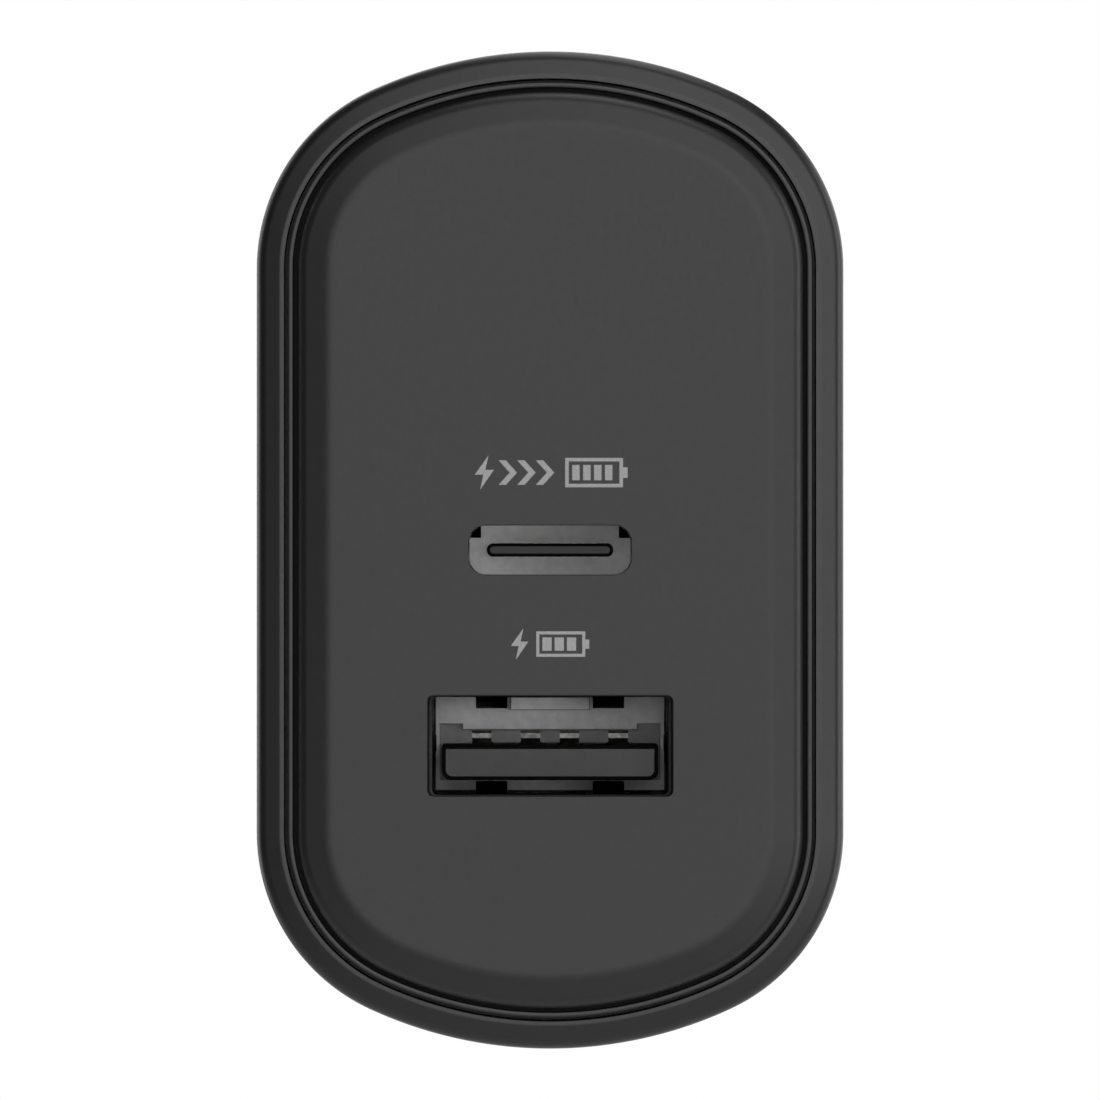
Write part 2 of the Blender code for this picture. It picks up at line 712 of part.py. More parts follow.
def make_detent_spring():
    """A bowed leaf across two posts, which presses on the flats of the cam."""
    low, high = DETENT_POSTS
    path = [
        (-5.47, low - 0.8),
        (-5.47, low + 1.6),
        (-5.38, PIVOT_ABOVE_CENTRE - 1.2),
        (-5.38, PIVOT_ABOVE_CENTRE + 1.2),
        (-5.47, high - 1.6),
        (-5.47, high + 0.8),
    ]
    return plate("detent_spring", [strip_outline(path, 0.25)], "YZ", -2.0, 2.0, BRONZE)


def make_contact_spring(name, side):
    """A leaf from the retainer to the tab of one blade, with a solder tail at its root."""
    path = [
        (-10.65, 15.9),
        (-10.65, 13.2),
        (-10.1, 11.6),
        (-9.1, 9.1),
        (-8.95, 8.0),
        (-9.1, 6.9),
        (-9.7, 5.2),
        (-10.3, 4.6),
    ]
    half = 1.2
    low, high = blade_x(side) - half, blade_x(side) + half
    return plate(name, [strip_outline(path, 0.3)], "YZ", low, high, BRONZE)


def make_screw(name, x, z):
    """A small self-tapping pan-head screw, its head towards the ports."""
    head, seat, tip = RETAINER_FRONT - 1.1, RETAINER_FRONT - 0.1, SPIGOT_END + 3.2
    profile = [
        (0.0, 0.0),
        (0.35, -0.05),
        (SCREW_RADIUS, -0.9),
        (SCREW_RADIUS, seat - tip),
        (1.45, seat - tip),
        (1.45, seat - tip - 0.55),
        (1.0, head - tip),
        (0.0, head - tip),
    ]
    screw = turned(name, profile, (x, tip, z), "Y", STEEL, steps=12)
    recess = box(f"{name}_recess", (x - 0.9, head - 0.5, z - 0.15), (x + 0.9, head + 0.4, z + 0.15))
    cross = box(f"{name}_cross", (x - 0.15, head - 0.5, z - 0.9), (x + 0.15, head + 0.4, z + 0.9))
    return cut(screw, recess, cross)


def make_input_wires():
    """The two leads from the contact springs' tails to the main board."""
    x = BLADE_SPACING / 2
    board = MAIN_BOARD_RIGHT + FIT_GAP
    wire(
        "input_wire_line",
        [(-x, -11.1, 15.2), (-x - 0.1, -11.9, 15.8), (-7.4, -12.6, 17.0), (-8.6, -13.2, 17.6),
         (board, -13.4, 17.7)],
        0.45,
        LINE_WIRE,
    )
    wire(
        "input_wire_neutral",
        [(x, -11.1, 15.2), (x - 0.1, -12.3, 15.6), (4.6, -13.6, 17.6), (0.0, -14.6, 18.4),
         (-5.0, -15.2, 18.2), (-8.2, -15.3, 17.8), (board, -15.3, 17.7)],
        0.45,
        NEUTRAL_WIRE,
    )


# ------------------------------------------------------------------------------------- main board

# Legs of the parts on the main board, as (y, z), each with a hole in the board.
LEG_HOLES = []


def legs(part, places, top=STANDING + 0.8):
    """Adds wire legs that run from a part through the main board and a little beyond it."""
    tail = MAIN_BOARD_LEFT - 0.8
    added = []
    for number, (y, z) in enumerate(places):
        LEG_HOLES.append((y, z))
        added.append(
            cylinder(f"{part.name}_leg_{number}", ((top + tail) / 2, y, z), LEG_RADIUS, top - tail,
                     "X", STEEL, sides=6)
        )
    return join(part, *added)


def make_electrolytic(name, base, axis, radius, height, leg_places=()):
    """An aluminium can with a crimped neck near its base and a rounded top edge."""
    profile = [
        (0.0, height),
        (radius - 0.6, height),
        (radius, height - 0.5),
        (radius, 2.4),
        (radius - 0.4, 1.9),
        (radius, 1.4),
        (radius, 0.3),
        (radius - 0.3, 0.0),
        (0.0, 0.0),
    ]
    can = turned(name, profile, base, axis, CAN, steps=18)
    return legs(can, leg_places) if leg_places else can


def make_bulk_capacitors():
    radius, height, pitch = 4.75, 19.0, 2.5
    for number, (y, z) in enumerate(((-31.0, 12.2), (-20.8, 12.2)), 1):
        places = ((y, z - pitch), (y, z + pitch))
        make_electrolytic(f"bulk_capacitor_{number}", (STANDING, y, z), "X", radius, height, places)


def make_transformer():
    """A pair of E-shaped ferrite cores through a wound bobbin, held together by a band of tape."""
    centre_y, centre_z = TRANSFORMER
    height, half_length, half_depth, limb, window = 14.0, 8.0, 3.5, 2.8, 2.1
    base, top, gap = CORE_BASE, CORE_BASE + height, 0.1
    mid_low, mid_high = base + limb + window, top - limb - window
    for label, up in (("upper", 1), ("lower", -1)):
        parting = centre_z + up * gap
        inner = centre_z + up * (half_length - limb)
        outer = centre_z + up * half_length
        outline = [
            (base, outer), (top, outer), (top, parting), (top - limb, parting), (top - limb, inner),
            (mid_high, inner), (mid_high, parting), (mid_low, parting), (mid_low, inner),
            (base + limb, inner), (base + limb, parting), (base, parting),
        ]
        rings = [[(x, centre_y + y, z) for x, z in outline] for y in (-half_depth, half_depth)]
        loft(f"transformer_core_{label}", rings, FERRITE)

    play, tube, flange = 0.15, 0.6, 0.8
    tube_end = half_length - limb - 0.3
    hollow_low = (mid_low - play, centre_y - half_depth - play, centre_z - 9)
    hollow_high = (mid_high + play, centre_y + half_depth + play, centre_z + 9)
    body_low = (hollow_low[0] - tube, hollow_low[1] - tube, centre_z - tube_end)
    body_high = (hollow_high[0] + tube, hollow_high[1] + tube, centre_z + tube_end)
    bobbin = box("transformer_bobbin", body_low, body_high, BOBBIN)
    wound = 1.3
    flanges = []
    for up in SIDES:
        low, high = sorted((up * tube_end, up * (tube_end - flange)))
        flanges.append(
            box(
                f"bobbin_flange_{up}",
                (body_low[0] - 1.1, body_low[1] - wound, centre_z + low),
                (body_high[0] + 1.1, body_high[1] + wound, centre_z + high),
            )
        )
    rails = [
        box(
            f"bobbin_rail_{up}",
            (STANDING, body_low[1] - wound, centre_z + up * (tube_end - 0.4) - 0.4),
            (base + 3.6, body_low[1] + 0.3, centre_z + up * (tube_end - 0.4) + 0.4),
        )
        for up in SIDES
    ]
    join(bobbin, *flanges, *rails)
    cut(bobbin, box("bobbin_hollow", hollow_low, hollow_high))
    legs(bobbin, [(body_low[1] - 0.4, centre_z + up * (tube_end - 0.4)) for up in SIDES],
         base + 1.5)

    clear, coat = 0.15, 1.0
    winding_half = tube_end - flange - clear
    winding = box(
        "transformer_winding",
        (body_low[0] - coat, body_low[1] - coat - 0.2, centre_z - winding_half),
        (body_high[0] + coat, body_high[1] + coat + 0.2, centre_z + winding_half),
        TAPE,
        bevel=0.5,
    )
    core_low = (body_low[0] - clear, body_low[1] - clear, centre_z - 9)
    core_high = (body_high[0] + clear, body_high[1] + clear, centre_z + 9)
    cut(winding, box("winding_hollow", core_low, core_high))

    film, band = 0.15, 2.8
    tape_out = [(base - 0.1 - film, centre_z - half_length - 0.1 - film),
                (top + 0.1 + film, centre_z + half_length + 0.1 + film)]
    tape_in = [(base - 0.1, centre_z - half_length - 0.1), (top + 0.1, centre_z + half_length + 0.1)]
    rings = [
        [(x, centre_y + y, z) for x, z in rectangle(*corners)]
        for corners, y in ((tape_out, -band), (tape_out, band), (tape_in, band), (tape_in, -band))
    ]
    loft("transformer_tape", rings, TAPE, closed=True)


def make_choke():
    """A small toroid with two windings, which keeps noise off the mains."""
    centre = (STANDING + 2.9, -19.0, 3.45)
    outer, inner, half = 2.9, 1.4, 1.4
    profile_rings = []
    for radius, x in ((outer, half), (inner, half), (inner, -half), (outer, -half)):
        ring = circle((centre[1], centre[2]), radius, 20)
        profile_rings.append([(centre[0] + x, y, z) for y, z in ring])
    loft("choke_core", profile_rings, FERRITE, closed=True)
    for number, start in enumerate((25, 205), 1):
        turns = []
        for step in range(5):
            angle = math.radians(start + 130 * step / 4)
            cos, sin = math.cos(angle), math.sin(angle)
            section = [(outer + 0.75, half + 0.7), (inner - 0.7, half + 0.7),
                       (inner - 0.7, -half - 0.7), (outer + 0.75, -half - 0.7)]
            hollow = [(inner - 0.15, -half - 0.15), (inner - 0.15, half + 0.15),
                      (outer + 0.15, half + 0.15), (outer + 0.15, -half - 0.15)]
            turns.append((section, hollow, cos, sin))
        make_wound_sector(f"choke_winding_{number}", centre, turns)


def make_wound_sector(name, centre, turns):
    """A stretch of winding round a toroid: a hollow sleeve that follows the core's arc."""
    outside, inside = [], []
    for section, hollow, cos, sin in turns:
        outside.append([(centre[0] + x, centre[1] + r * cos, centre[2] + r * sin) for r, x in section])
        inside.append([(centre[0] + x, centre[1] + r * cos, centre[2] + r * sin) for r, x in hollow])
    inside = [[ring[i] for i in (2, 1, 0, 3)] for ring in inside]
    sleeve = loft(name, outside, COPPER)
    return cut(sleeve, loft(f"{name}_hollow", extended(inside), COPPER))


def extended(rings):
    """The rings with one more at each end, so that a cutter passes right through."""
    before = [tuple(2 * Vector(a) - Vector(b)) for a, b in zip(rings[0], rings[1])]
    after = [tuple(2 * Vector(a) - Vector(b)) for a, b in zip(rings[-1], rings[-2])]
    return [before, *rings, after]


def make_mains_parts():
    """The smaller parts that stand on the main board."""
    x_cap = box("x_capacitor", (STANDING, -28.7, 0.1), (STANDING + 9.0, -24.1, 7.1), X_CAP, bevel=0.4)
    legs(x_cap, ((-26.4, 1.1), (-26.4, 6.1)))
    fuse = box("fuse", (STANDING, -15.8, 8.0), (STANDING + 7.5, -12.5, 15.4), CHIP, bevel=0.5)
    legs(fuse, ((-14.2, 9.4), (-14.2, 14.0)))
    thermistor = turned(
        "thermistor",
        [(0.0, 2.0), (2.1, 2.0), (2.6, 1.6), (2.6, 0.4), (2.1, 0.0), (0.0, 0.0)],
        (STANDING + 3.1, -15.0, 4.2), "Y", GREEN, steps=16,
    )
    legs(thermistor, ((-14.0, 3.0), (-14.0, 5.4)), STANDING + 2.0)
    y_cap = turned(
        "y_capacitor",
        [(0.0, 2.0), (2.9, 2.0), (3.5, 1.5), (3.5, 0.5), (2.9, 0.0), (0.0, 0.0)],
        (STANDING + 4.2, -14.8, -6.0), "Y", BLUE, steps=18,
    )
    legs(y_cap, ((-13.8, -8.0), (-13.8, -4.0)), STANDING + 3.0)


def make_chip(name, low, high):
    """A flat surface-mounted package with chamfered edges."""
    return box(name, low, high, CHIP, bevel=0.15)


def make_board_chips():
    """The flat packages: three on the solder side of the main board and one in front."""
    left, right = MAIN_BOARD_LEFT - 1.15, MAIN_BOARD_LEFT - 0.1
    make_chip("bridge_rectifier", (left, -20.0, 4.5), (right, -15.2, 9.2))
    make_chip("primary_controller", (left, -24.0, -2.5), (right, -19.0, 1.5))
    make_chip("sync_rectifier", (left, -34.5, -9.5), (right, -29.5 - 2.2, -4.5))
    make_chip("optocoupler", (STANDING, -29.2, -17.1), (STANDING + 2.0, -25.2, -14.8))


def make_main_board():
    """The upright mains board, with a hole for each leg and two slots for the port board's tabs."""
    edge = rounded_rectangle(
        MAIN_BOARD_BACK - MAIN_BOARD_FRONT, 2 * MAIN_BOARD_HALF_HEIGHT, 1.0,
        ((MAIN_BOARD_BACK + MAIN_BOARD_FRONT) / 2, 0.0), 2,
    )
    holes = [circle(place_yz, LEG_RADIUS + 0.15, 8) for place_yz in LEG_HOLES]
    slots = [
        rectangle((PORT_BOARD_FRONT - 0.25, low - 0.25), (PORT_BOARD_REAR + 0.25, high + 0.25))
        for low, high in BOARD_SLOTS
    ]
    plate("main_board", [edge, *holes, *slots], "YZ", MAIN_BOARD_LEFT, MAIN_BOARD_RIGHT, BOARD)


def make_liners():
    """The film behind the mains board and the thin plate that spreads heat over the far wall."""
    y_low, y_high = MAIN_BOARD_FRONT, MAIN_BOARD_BACK
    film = rounded_rectangle(y_high - y_low, 28.0, 1.0, ((y_high + y_low) / 2, 0.0), 2)
    plate("insulation_sheet", [film], "YZ", -12.65, -12.4, FILM)
    spreader = rounded_rectangle(21.0, 26.0, 1.5, (-24.0, 0.0), 2)
    plate("heat_spreader", [spreader], "YZ", 12.35, 12.65, ALUMINIUM)


# -------------------------------------------------------------------------------------- port board

def make_port_board():
    """The board that carries both sockets, parallel to the front panel; its two tabs plug into
    the main board."""
    left, right, bottom, top = PORT_BOARD_EDGES
    tab = MAIN_BOARD_LEFT - 0.5
    edge = [(right, bottom), (right, top), (left, top)]
    for low, high in reversed(BOARD_SLOTS):
        edge += [(left, high), (tab, high), (tab, low), (left, low)]
    edge.append((left, bottom))
    pins = [circle((x, USB_A_PIN_HEIGHT - USB_A_BELOW_CENTRE), 0.68, 8) for x in USB_A_PINS]
    slots = []
    for side in SIDES:
        for centre, height in ((USB_A_LEG_X, -USB_A_BELOW_CENTRE), (USB_C_LEG_X, 0.0)):
            middle, half = side * centre, SHELL_LEG[1] / 2 + 0.2
            slots.append(rectangle((middle - 0.4, height - half), (middle + 0.4, height + half)))
    plate("port_board", [edge, *pins, *slots], "XZ", PORT_BOARD_FRONT, PORT_BOARD_REAR, BOARD)
    make_chip("pd_controller", (2.8, PORT_BOARD_REAR + 0.1, 1.4), (6.6, PORT_BOARD_REAR + 1.0, 5.2))
    for number, z in enumerate((-5.4, -12.9), 1):
        make_electrolytic(f"output_capacitor_{number}", (9.2, PORT_BOARD_REAR + FIT_GAP, z), "Y",
                          3.0, 8.5)


def socket_tube(name, opening, radius, centre_z, corner_steps):
    """A drawn metal shell: a tube of sheet metal round a socket's opening."""
    outer = (opening[0] + 2 * SHEET, opening[1] + 2 * SHEET)
    rear = SOCKET_REAR
    rings = []
    for size, corner, y in (
        (outer, radius + SHEET, SOCKET_FRONT),
        (outer, radius + SHEET, rear),
        (opening, radius, rear),
        (opening, radius, SOCKET_FRONT),
    ):
        ring = rounded_rectangle(*size, corner, (0.0, centre_z), corner_steps)
        rings.append([(x, y, z) for x, z in ring])
    return loft(name, rings, SHELL, closed=True)


def shell_legs(name, leg_x, centre_z):
    """Two solder legs on a shell's sides, which pass through the port board."""
    width, height = SHEET, SHELL_LEG[1]
    return [
        box(
            f"{name}_leg_{side}",
            (side * leg_x - width / 2, SOCKET_REAR - SHELL_LEG[0], centre_z - height / 2),
            (side * leg_x + width / 2, PORT_BOARD_REAR + 0.9, centre_z + height / 2),
        )
        for side in SIDES
    ]


def make_usb_a_shell():
    """The USB-A socket's shell, with two sprung fingers above the opening and two below it."""
    centre_z = -USB_A_BELOW_CENTRE
    shell = socket_tube("usb_a_shell", USB_A_SHELL_OPENING, 0.25, centre_z, 2)
    windows, fingers = [], []
    wall = USB_A_SHELL_OPENING[1] / 2
    window_front, window_rear = SOCKET_FRONT + 1.2, SOCKET_FRONT + 7.8
    for up in (1, -1):
        for side in SIDES:
            middle = side * FINGER_X
            low, high = sorted((centre_z + up * (wall - 0.3), centre_z + up * (wall + 0.8)))
            windows.append(
                box(f"finger_window_{up}_{side}", (middle - 1.1, window_front, low),
                    (middle + 1.1, window_rear, high))
            )
            level = wall + SHEET / 2
            path = [
                (window_rear + 0.6, centre_z + up * level),
                (window_rear - 0.4, centre_z + up * level),
                (window_front + 2.6, centre_z + up * (wall - FINGER_REACH + 0.25)),
                (window_front + 1.9, centre_z + up * (wall - FINGER_REACH + 0.15)),
                (window_front + 1.2, centre_z + up * (wall - FINGER_REACH + 0.35)),
                (window_front + 0.5, centre_z + up * (level - 0.1)),
            ]
            outline = strip_outline(path, 0.28)
            fingers.append(
                plate(f"finger_{up}_{side}", [outline], "YZ", middle - FINGER_WIDTH / 2,
                      middle + FINGER_WIDTH / 2, SHELL)
            )
    cut(shell, *windows)
    return join(shell, *fingers, *shell_legs("usb_a", USB_A_LEG_X, centre_z))


def make_usb_a_insulator():
    """The USB-A socket's moulding: a block that fills the back of the shell, and a tongue with a
    groove for each contact."""
    centre_z = -USB_A_BELOW_CENTRE
    half_width, half_height = USB_A_SHELL_OPENING[0] / 2 - 0.1, USB_A_SHELL_OPENING[1] / 2 - 0.1
    width, thickness = USB_A_TONGUE
    base = box(
        "usb_a_insulator",
        (-half_width, USB_A_BASE_FRONT, centre_z - half_height),
        (half_width, SOCKET_REAR - 0.1, centre_z + half_height),
        SOCKET,
    )
    tongue = box(
        "tongue", (-width / 2, TONGUE_TIP, centre_z - thickness),
        (width / 2, USB_A_BASE_FRONT + 1.0, centre_z), bevel=0.18,
    )
    join(base, tongue)
    recess = box(
        "base_recess", (-4.5, USB_A_BASE_FRONT - 1.0, centre_z + 0.1),
        (4.5, USB_A_BASE_FRONT + 1.0, centre_z + 0.75),
    )
    grooves = [
        box(f"groove_{x:.0f}", (x - 0.585, TONGUE_TIP + 0.5, centre_z - 0.62),
            (x + 0.585, SOCKET_REAR + 1.0, centre_z + 0.06))
        for x in USB_A_PINS
    ]
    return cut(base, recess, *grooves)


def make_usb_a_contacts():
    """Four gold-plated contacts, each a leaf that springs up out of its groove in the tongue and ends
    in a tail through the port board."""
    centre_z = -USB_A_BELOW_CENTRE
    bed = centre_z + USB_A_PIN_HEIGHT
    path = [
        (TONGUE_TIP + 1.5, centre_z + 0.48),
        (TONGUE_TIP + 2.0, centre_z + 0.61),
        (TONGUE_TIP + 2.5, centre_z + 0.5),
        (TONGUE_TIP + 4.6, bed),
        (PORT_BOARD_REAR + 0.9, bed),
    ]
    for number, x in enumerate(USB_A_PINS, 1):
        plate(f"usb_a_contact_{number}", [strip_outline(path, 0.25)], "YZ", x - 0.5, x + 0.5, GOLD)


def make_usb_c_socket():
    """The USB-C socket: a seamless shell, and a moulding whose thin tongue carries the contacts."""
    shell = socket_tube("usb_c_shell", USB_C_OPENING, USB_C_OPENING_RADIUS, 0.0, 4)
    join(shell, *shell_legs("usb_c", USB_C_LEG_X, 0.0))
    play = 0.12
    back = rounded_rectangle(
        USB_C_OPENING[0] - 2 * play, USB_C_OPENING[1] - 2 * play, USB_C_OPENING_RADIUS - play,
        steps=4,
    )
    base = plate("usb_c_insulator", [back], "XZ", USB_C_BASE_FRONT, SOCKET_REAR - 0.1, SOCKET)
    width, thickness = USB_C_TONGUE
    tongue = plate(
        "usb_c_tongue", [rounded_rectangle(width, thickness, thickness / 2 - 0.01, steps=4)], "XZ",
        TONGUE_TIP, USB_C_BASE_FRONT + 1.0, SOCKET,
    )
    base = join(base, tongue)
    notches = [
        box(
            f"usb_c_notch_{side}",
            (min(side * 3.55, side * 4.6), USB_C_BASE_FRONT - 1.0, 0.62),
            (max(side * 3.55, side * 4.6), USB_C_BASE_FRONT + 2.5, 1.6),
        )
        for side in SIDES
    ]
    cut(base, *notches)


# ------------------------------------------------------------------------------------- whole object


def make_case():
    make_housing()
    make_trim_ring()
    make_front_panel()
    make_rear_cover()


def make_plug():
    make_prong_carrier()
    for label, side in (("line", -1), ("neutral", 1)):
        make_blade(f"prong_{label}", side)
        make_contact_spring(f"contact_spring_{label}", side)
    make_prong_retainer()
    make_detent_spring()
    for number, (x, z) in enumerate(SCREW_PLACES, 1):
        make_screw(f"retainer_screw_{number}", x, z)
    make_input_wires()


def make_electronics():
    make_bulk_capacitors()
    make_transformer()
    make_choke()
    make_mains_parts()
    make_board_chips()
    make_main_board()
    make_liners()
    make_port_board()


def make_sockets():
    make_usb_a_shell()
    make_usb_a_insulator()
    make_usb_a_contacts()
    make_usb_c_socket()


make_case()
make_plug()
make_electronics()
make_sockets()
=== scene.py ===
"""Looks of a compact USB wall charger with a folding two-blade plug.

The visible shells and sockets are rebuilt here as fine meshes in place of their CAD nodes; every
other node keeps its CAD mesh and gets a procedural material. Lengths are in millimetres until MM
turns them into metres, and body points are measured from the middle of the case.
"""

import math

import bmesh
import bpy
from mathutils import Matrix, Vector


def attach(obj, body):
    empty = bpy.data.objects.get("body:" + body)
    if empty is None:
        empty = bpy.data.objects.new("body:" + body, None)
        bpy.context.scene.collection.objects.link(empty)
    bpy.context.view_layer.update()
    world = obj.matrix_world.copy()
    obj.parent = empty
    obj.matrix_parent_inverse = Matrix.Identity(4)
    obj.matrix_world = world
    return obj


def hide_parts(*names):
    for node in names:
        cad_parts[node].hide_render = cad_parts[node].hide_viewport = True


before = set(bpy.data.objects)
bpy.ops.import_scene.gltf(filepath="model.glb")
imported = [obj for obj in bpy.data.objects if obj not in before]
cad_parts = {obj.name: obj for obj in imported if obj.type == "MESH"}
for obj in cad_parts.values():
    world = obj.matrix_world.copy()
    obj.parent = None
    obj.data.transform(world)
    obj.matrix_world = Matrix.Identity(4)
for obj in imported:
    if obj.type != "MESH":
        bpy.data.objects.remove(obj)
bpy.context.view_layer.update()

MM = 0.001
SIDES = (-1, 1)

# The frame's origin lies between the blades, this far above the middle of the case.
LIFT = -8.0

# Case: its outline, its depths along Y from the wall face at 0, and the insets of the rim, the
# trim ring and the pillowed panel from the outline.
WIDTH, HEIGHT, DEPTH = 30.0, 51.0, 45.0
END_RADIUS, CORNER_RADIUS = 22.0, 10.0
WALL = 2.0
PANEL_FRONT = -DEPTH
RIM_FRONT = PANEL_FRONT + 1.0
REAR_SEAM = -5.0
COVER_THICKNESS = 2.0
SPIGOT_END = -8.6
RIM_EDGE, RIM_INSET = 1.25, 1.43
RING_OUTER, RING_INNER = 1.60, 1.87
PANEL_INSET, PANEL_EDGE = 2.10, 3.93
SNAP_HEIGHTS = (-9.0, 9.0)
SCREW_PLACES = ((-9.4, 14.2), (9.4, 14.2), (0.0, 1.0))

# Sockets: (width, height, corner radius) of each mouth and of each opening in the panel.
USB_C_MOUTH = (8.34, 2.56, 0.9)
USB_A_MOUTH = (12.0, 5.0, 0.25)
USB_A_OPENING = (12.5, 5.12, 0.3)
USB_A_Z = -10.0
USB_A_PINS = (-3.5, -1.0, 1.0, 3.5)
PIN_GROOVE, PIN_FLOOR = 0.585, -0.62
FINGER_X = 3.0
SOCKET_FRONT = PANEL_FRONT + 1.95
SOCKET_REAR = PANEL_FRONT + 13.9
TONGUE_TIP = SOCKET_FRONT + 0.65
USB_A_BASE = SOCKET_FRONT + 8.6
WINDOW_FRONT, WINDOW_REAR = SOCKET_FRONT + 1.2, SOCKET_FRONT + 7.8
SHEET = 0.3

# Folding plug.
PIVOT_DEPTH = 3.6
PIVOT_Z = 8.0
PIVOT_REST = (-PIVOT_DEPTH, PIVOT_Z)
BLADE_X = 6.35
BLADE_HALF_SHEET, BLADE_EASE = 0.75, 0.16
SHAFT_RADIUS, HUB_RADIUS = 1.2, 3.3
SHAFT_HALF_LENGTH = 10.6

# Shading: corners sharper than this, in degrees, stay crisp, and so do faces with more sides.
SHARP_ANGLE = 32.0
FEW_SIDES = 8

# Width that the camera takes in at the face of the panel.
VIEW_WIDTH = 1100 / 19.6

# Floor of the studio, in metres: half its side, its height, and where it starts and stops to fade.
FLOOR_HALF, FLOOR_Z = 0.45, -0.13
FLOOR_FADE = (0.16, 0.42)


# ------------------------------------------------------------------------------------ materials


class Shader:
    """A Principled material with a few ready-made procedural layers."""

    def __init__(self, name, colour, roughness, metallic=0.0, specular=0.5):
        self.material = bpy.data.materials.new(name)
        self.material.use_nodes = True
        self.nodes = self.material.node_tree.nodes
        self.links = self.material.node_tree.links
        self.principled = self.nodes["Principled BSDF"]
        self.colour = colour
        self.set("Base Color", (*colour, 1.0))
        self.set("Roughness", roughness)
        self.set("Metallic", metallic)
        self.set("Specular IOR Level", specular)
        self.coordinates = self.nodes.new("ShaderNodeTexCoord").outputs["Object"]
        self.normal = None

    def set(self, socket, value):
        self.principled.inputs[socket].default_value = value
        return self

    def stretched(self, stretch):
        if stretch == (1, 1, 1):
            return self.coordinates
        mapping = self.nodes.new("ShaderNodeMapping")
        mapping.inputs["Scale"].default_value = stretch
        self.links.new(self.coordinates, mapping.inputs["Vector"])
        return mapping.outputs["Vector"]

    def noise(self, size, detail=3.0, stretch=(1, 1, 1)):
        """Noise whose features are about size millimetres across."""
        texture = self.nodes.new("ShaderNodeTexNoise")
        texture.inputs["Scale"].default_value = 1.0 / (size * MM)
        texture.inputs["Detail"].default_value = detail
        self.links.new(self.stretched(stretch), texture.inputs["Vector"])
        return texture.outputs["Fac"]

    def bands(self, pitch, direction, distortion=0.0):
        """Even ridges, one every pitch millimetres along one axis."""
        texture = self.nodes.new("ShaderNodeTexWave")
        texture.wave_type = "BANDS"
        texture.bands_direction = direction
        texture.inputs["Scale"].default_value = 0.314 / (pitch * MM)
        texture.inputs["Distortion"].default_value = distortion
        self.links.new(self.coordinates, texture.inputs["Vector"])
        return texture.outputs["Fac"]

    def cells(self, size):
        texture = self.nodes.new("ShaderNodeTexVoronoi")
        texture.inputs["Scale"].default_value = 1.0 / (size * MM)
        self.links.new(self.coordinates, texture.inputs["Vector"])
        return texture.outputs["Distance"]

    def ramp(self, fac, stops):
        ramp = self.nodes.new("ShaderNodeValToRGB")
        elements = ramp.color_ramp.elements
        while len(elements) < len(stops):
            elements.new(0.5)
        for element, (position, value) in zip(elements, stops):
            element.position = position
            element.color = (*value, 1.0) if isinstance(value, tuple) else (value,) * 3 + (1.0,)
        self.links.new(fac, ramp.inputs["Fac"])
        return ramp.outputs["Color"]

    def tint(self, fac, low, high, start=0.35, end=0.65):
        """Varies the colour between two multiples of itself, or to given colours."""
        ends = [
            value if isinstance(value, tuple) else tuple(value * part for part in self.colour)
            for value in (low, high)
        ]
        colour = self.ramp(fac, [(start, ends[0]), (end, ends[1])])
        self.links.new(colour, self.principled.inputs["Base Color"])
        return self

    def rough(self, fac, low, high, start=0.35, end=0.65):
        value = self.ramp(fac, [(start, low), (end, high)])
        self.links.new(value, self.principled.inputs["Roughness"])
        return self

    def bump(self, fac, height, strength=1.0):
        """Relief of the given height in millimetres."""
        node = self.nodes.new("ShaderNodeBump")
        node.inputs["Strength"].default_value = strength
        node.inputs["Distance"].default_value = height * MM
        self.links.new(fac, node.inputs["Height"])
        if self.normal is not None:
            self.links.new(self.normal, node.inputs["Normal"])
        self.normal = node.outputs["Normal"]
        self.links.new(self.normal, self.principled.inputs["Normal"])
        return self


def moulded_plastic(name, colour, roughness, grain=0.14, relief=0.0012, specular=0.38):
    """Moulded plastic with a fine eroded grain and slight flow marks in its gloss."""
    shader = Shader(name, colour, roughness, 0.0, specular)
    shader.tint(shader.noise(0.5, 3.0), 0.94, 1.06)
    shader.rough(shader.noise(0.3, 3.0), roughness - 0.012, roughness + 0.012)
    shader.bump(shader.noise(grain, 2.0), relief, 0.6)
    return shader.material


def rolled_metal(name, colour, roughness, stretch=(1, 0.08, 1), size=0.12, relief=0.0009):
    """Rolled or drawn metal whose fine lines run along one axis."""
    shader = Shader(name, colour, roughness, 1.0)
    shader.tint(shader.noise(1.6, 3.0), 0.93, 1.04)
    shader.rough(shader.noise(size, 4.0, stretch), roughness - 0.06, roughness + 0.08)
    shader.bump(shader.noise(size, 3.0, stretch), relief, 0.5)
    return shader.material


def laminate_board(name):
    """Solder mask over the faint weave of glass cloth, with lighter areas where copper lies."""
    shader = Shader(name, (0.02, 0.14, 0.06), 0.32)
    shader.tint(shader.cells(2.6), (0.015, 0.11, 0.045), (0.04, 0.20, 0.09), 0.30, 0.42)
    shader.rough(shader.noise(0.5), 0.25, 0.4)
    shader.bump(shader.bands(0.45, "Y"), 0.006, 0.4)
    shader.bump(shader.bands(0.45, "Z"), 0.006, 0.4)
    return shader.material


def chip_epoxy(name):
    shader = Shader(name, (0.018, 0.018, 0.02), 0.55)
    shader.tint(shader.noise(0.08), 0.7, 1.5)
    shader.bump(shader.noise(0.06, 3.0), 0.004, 0.5)
    return shader.material


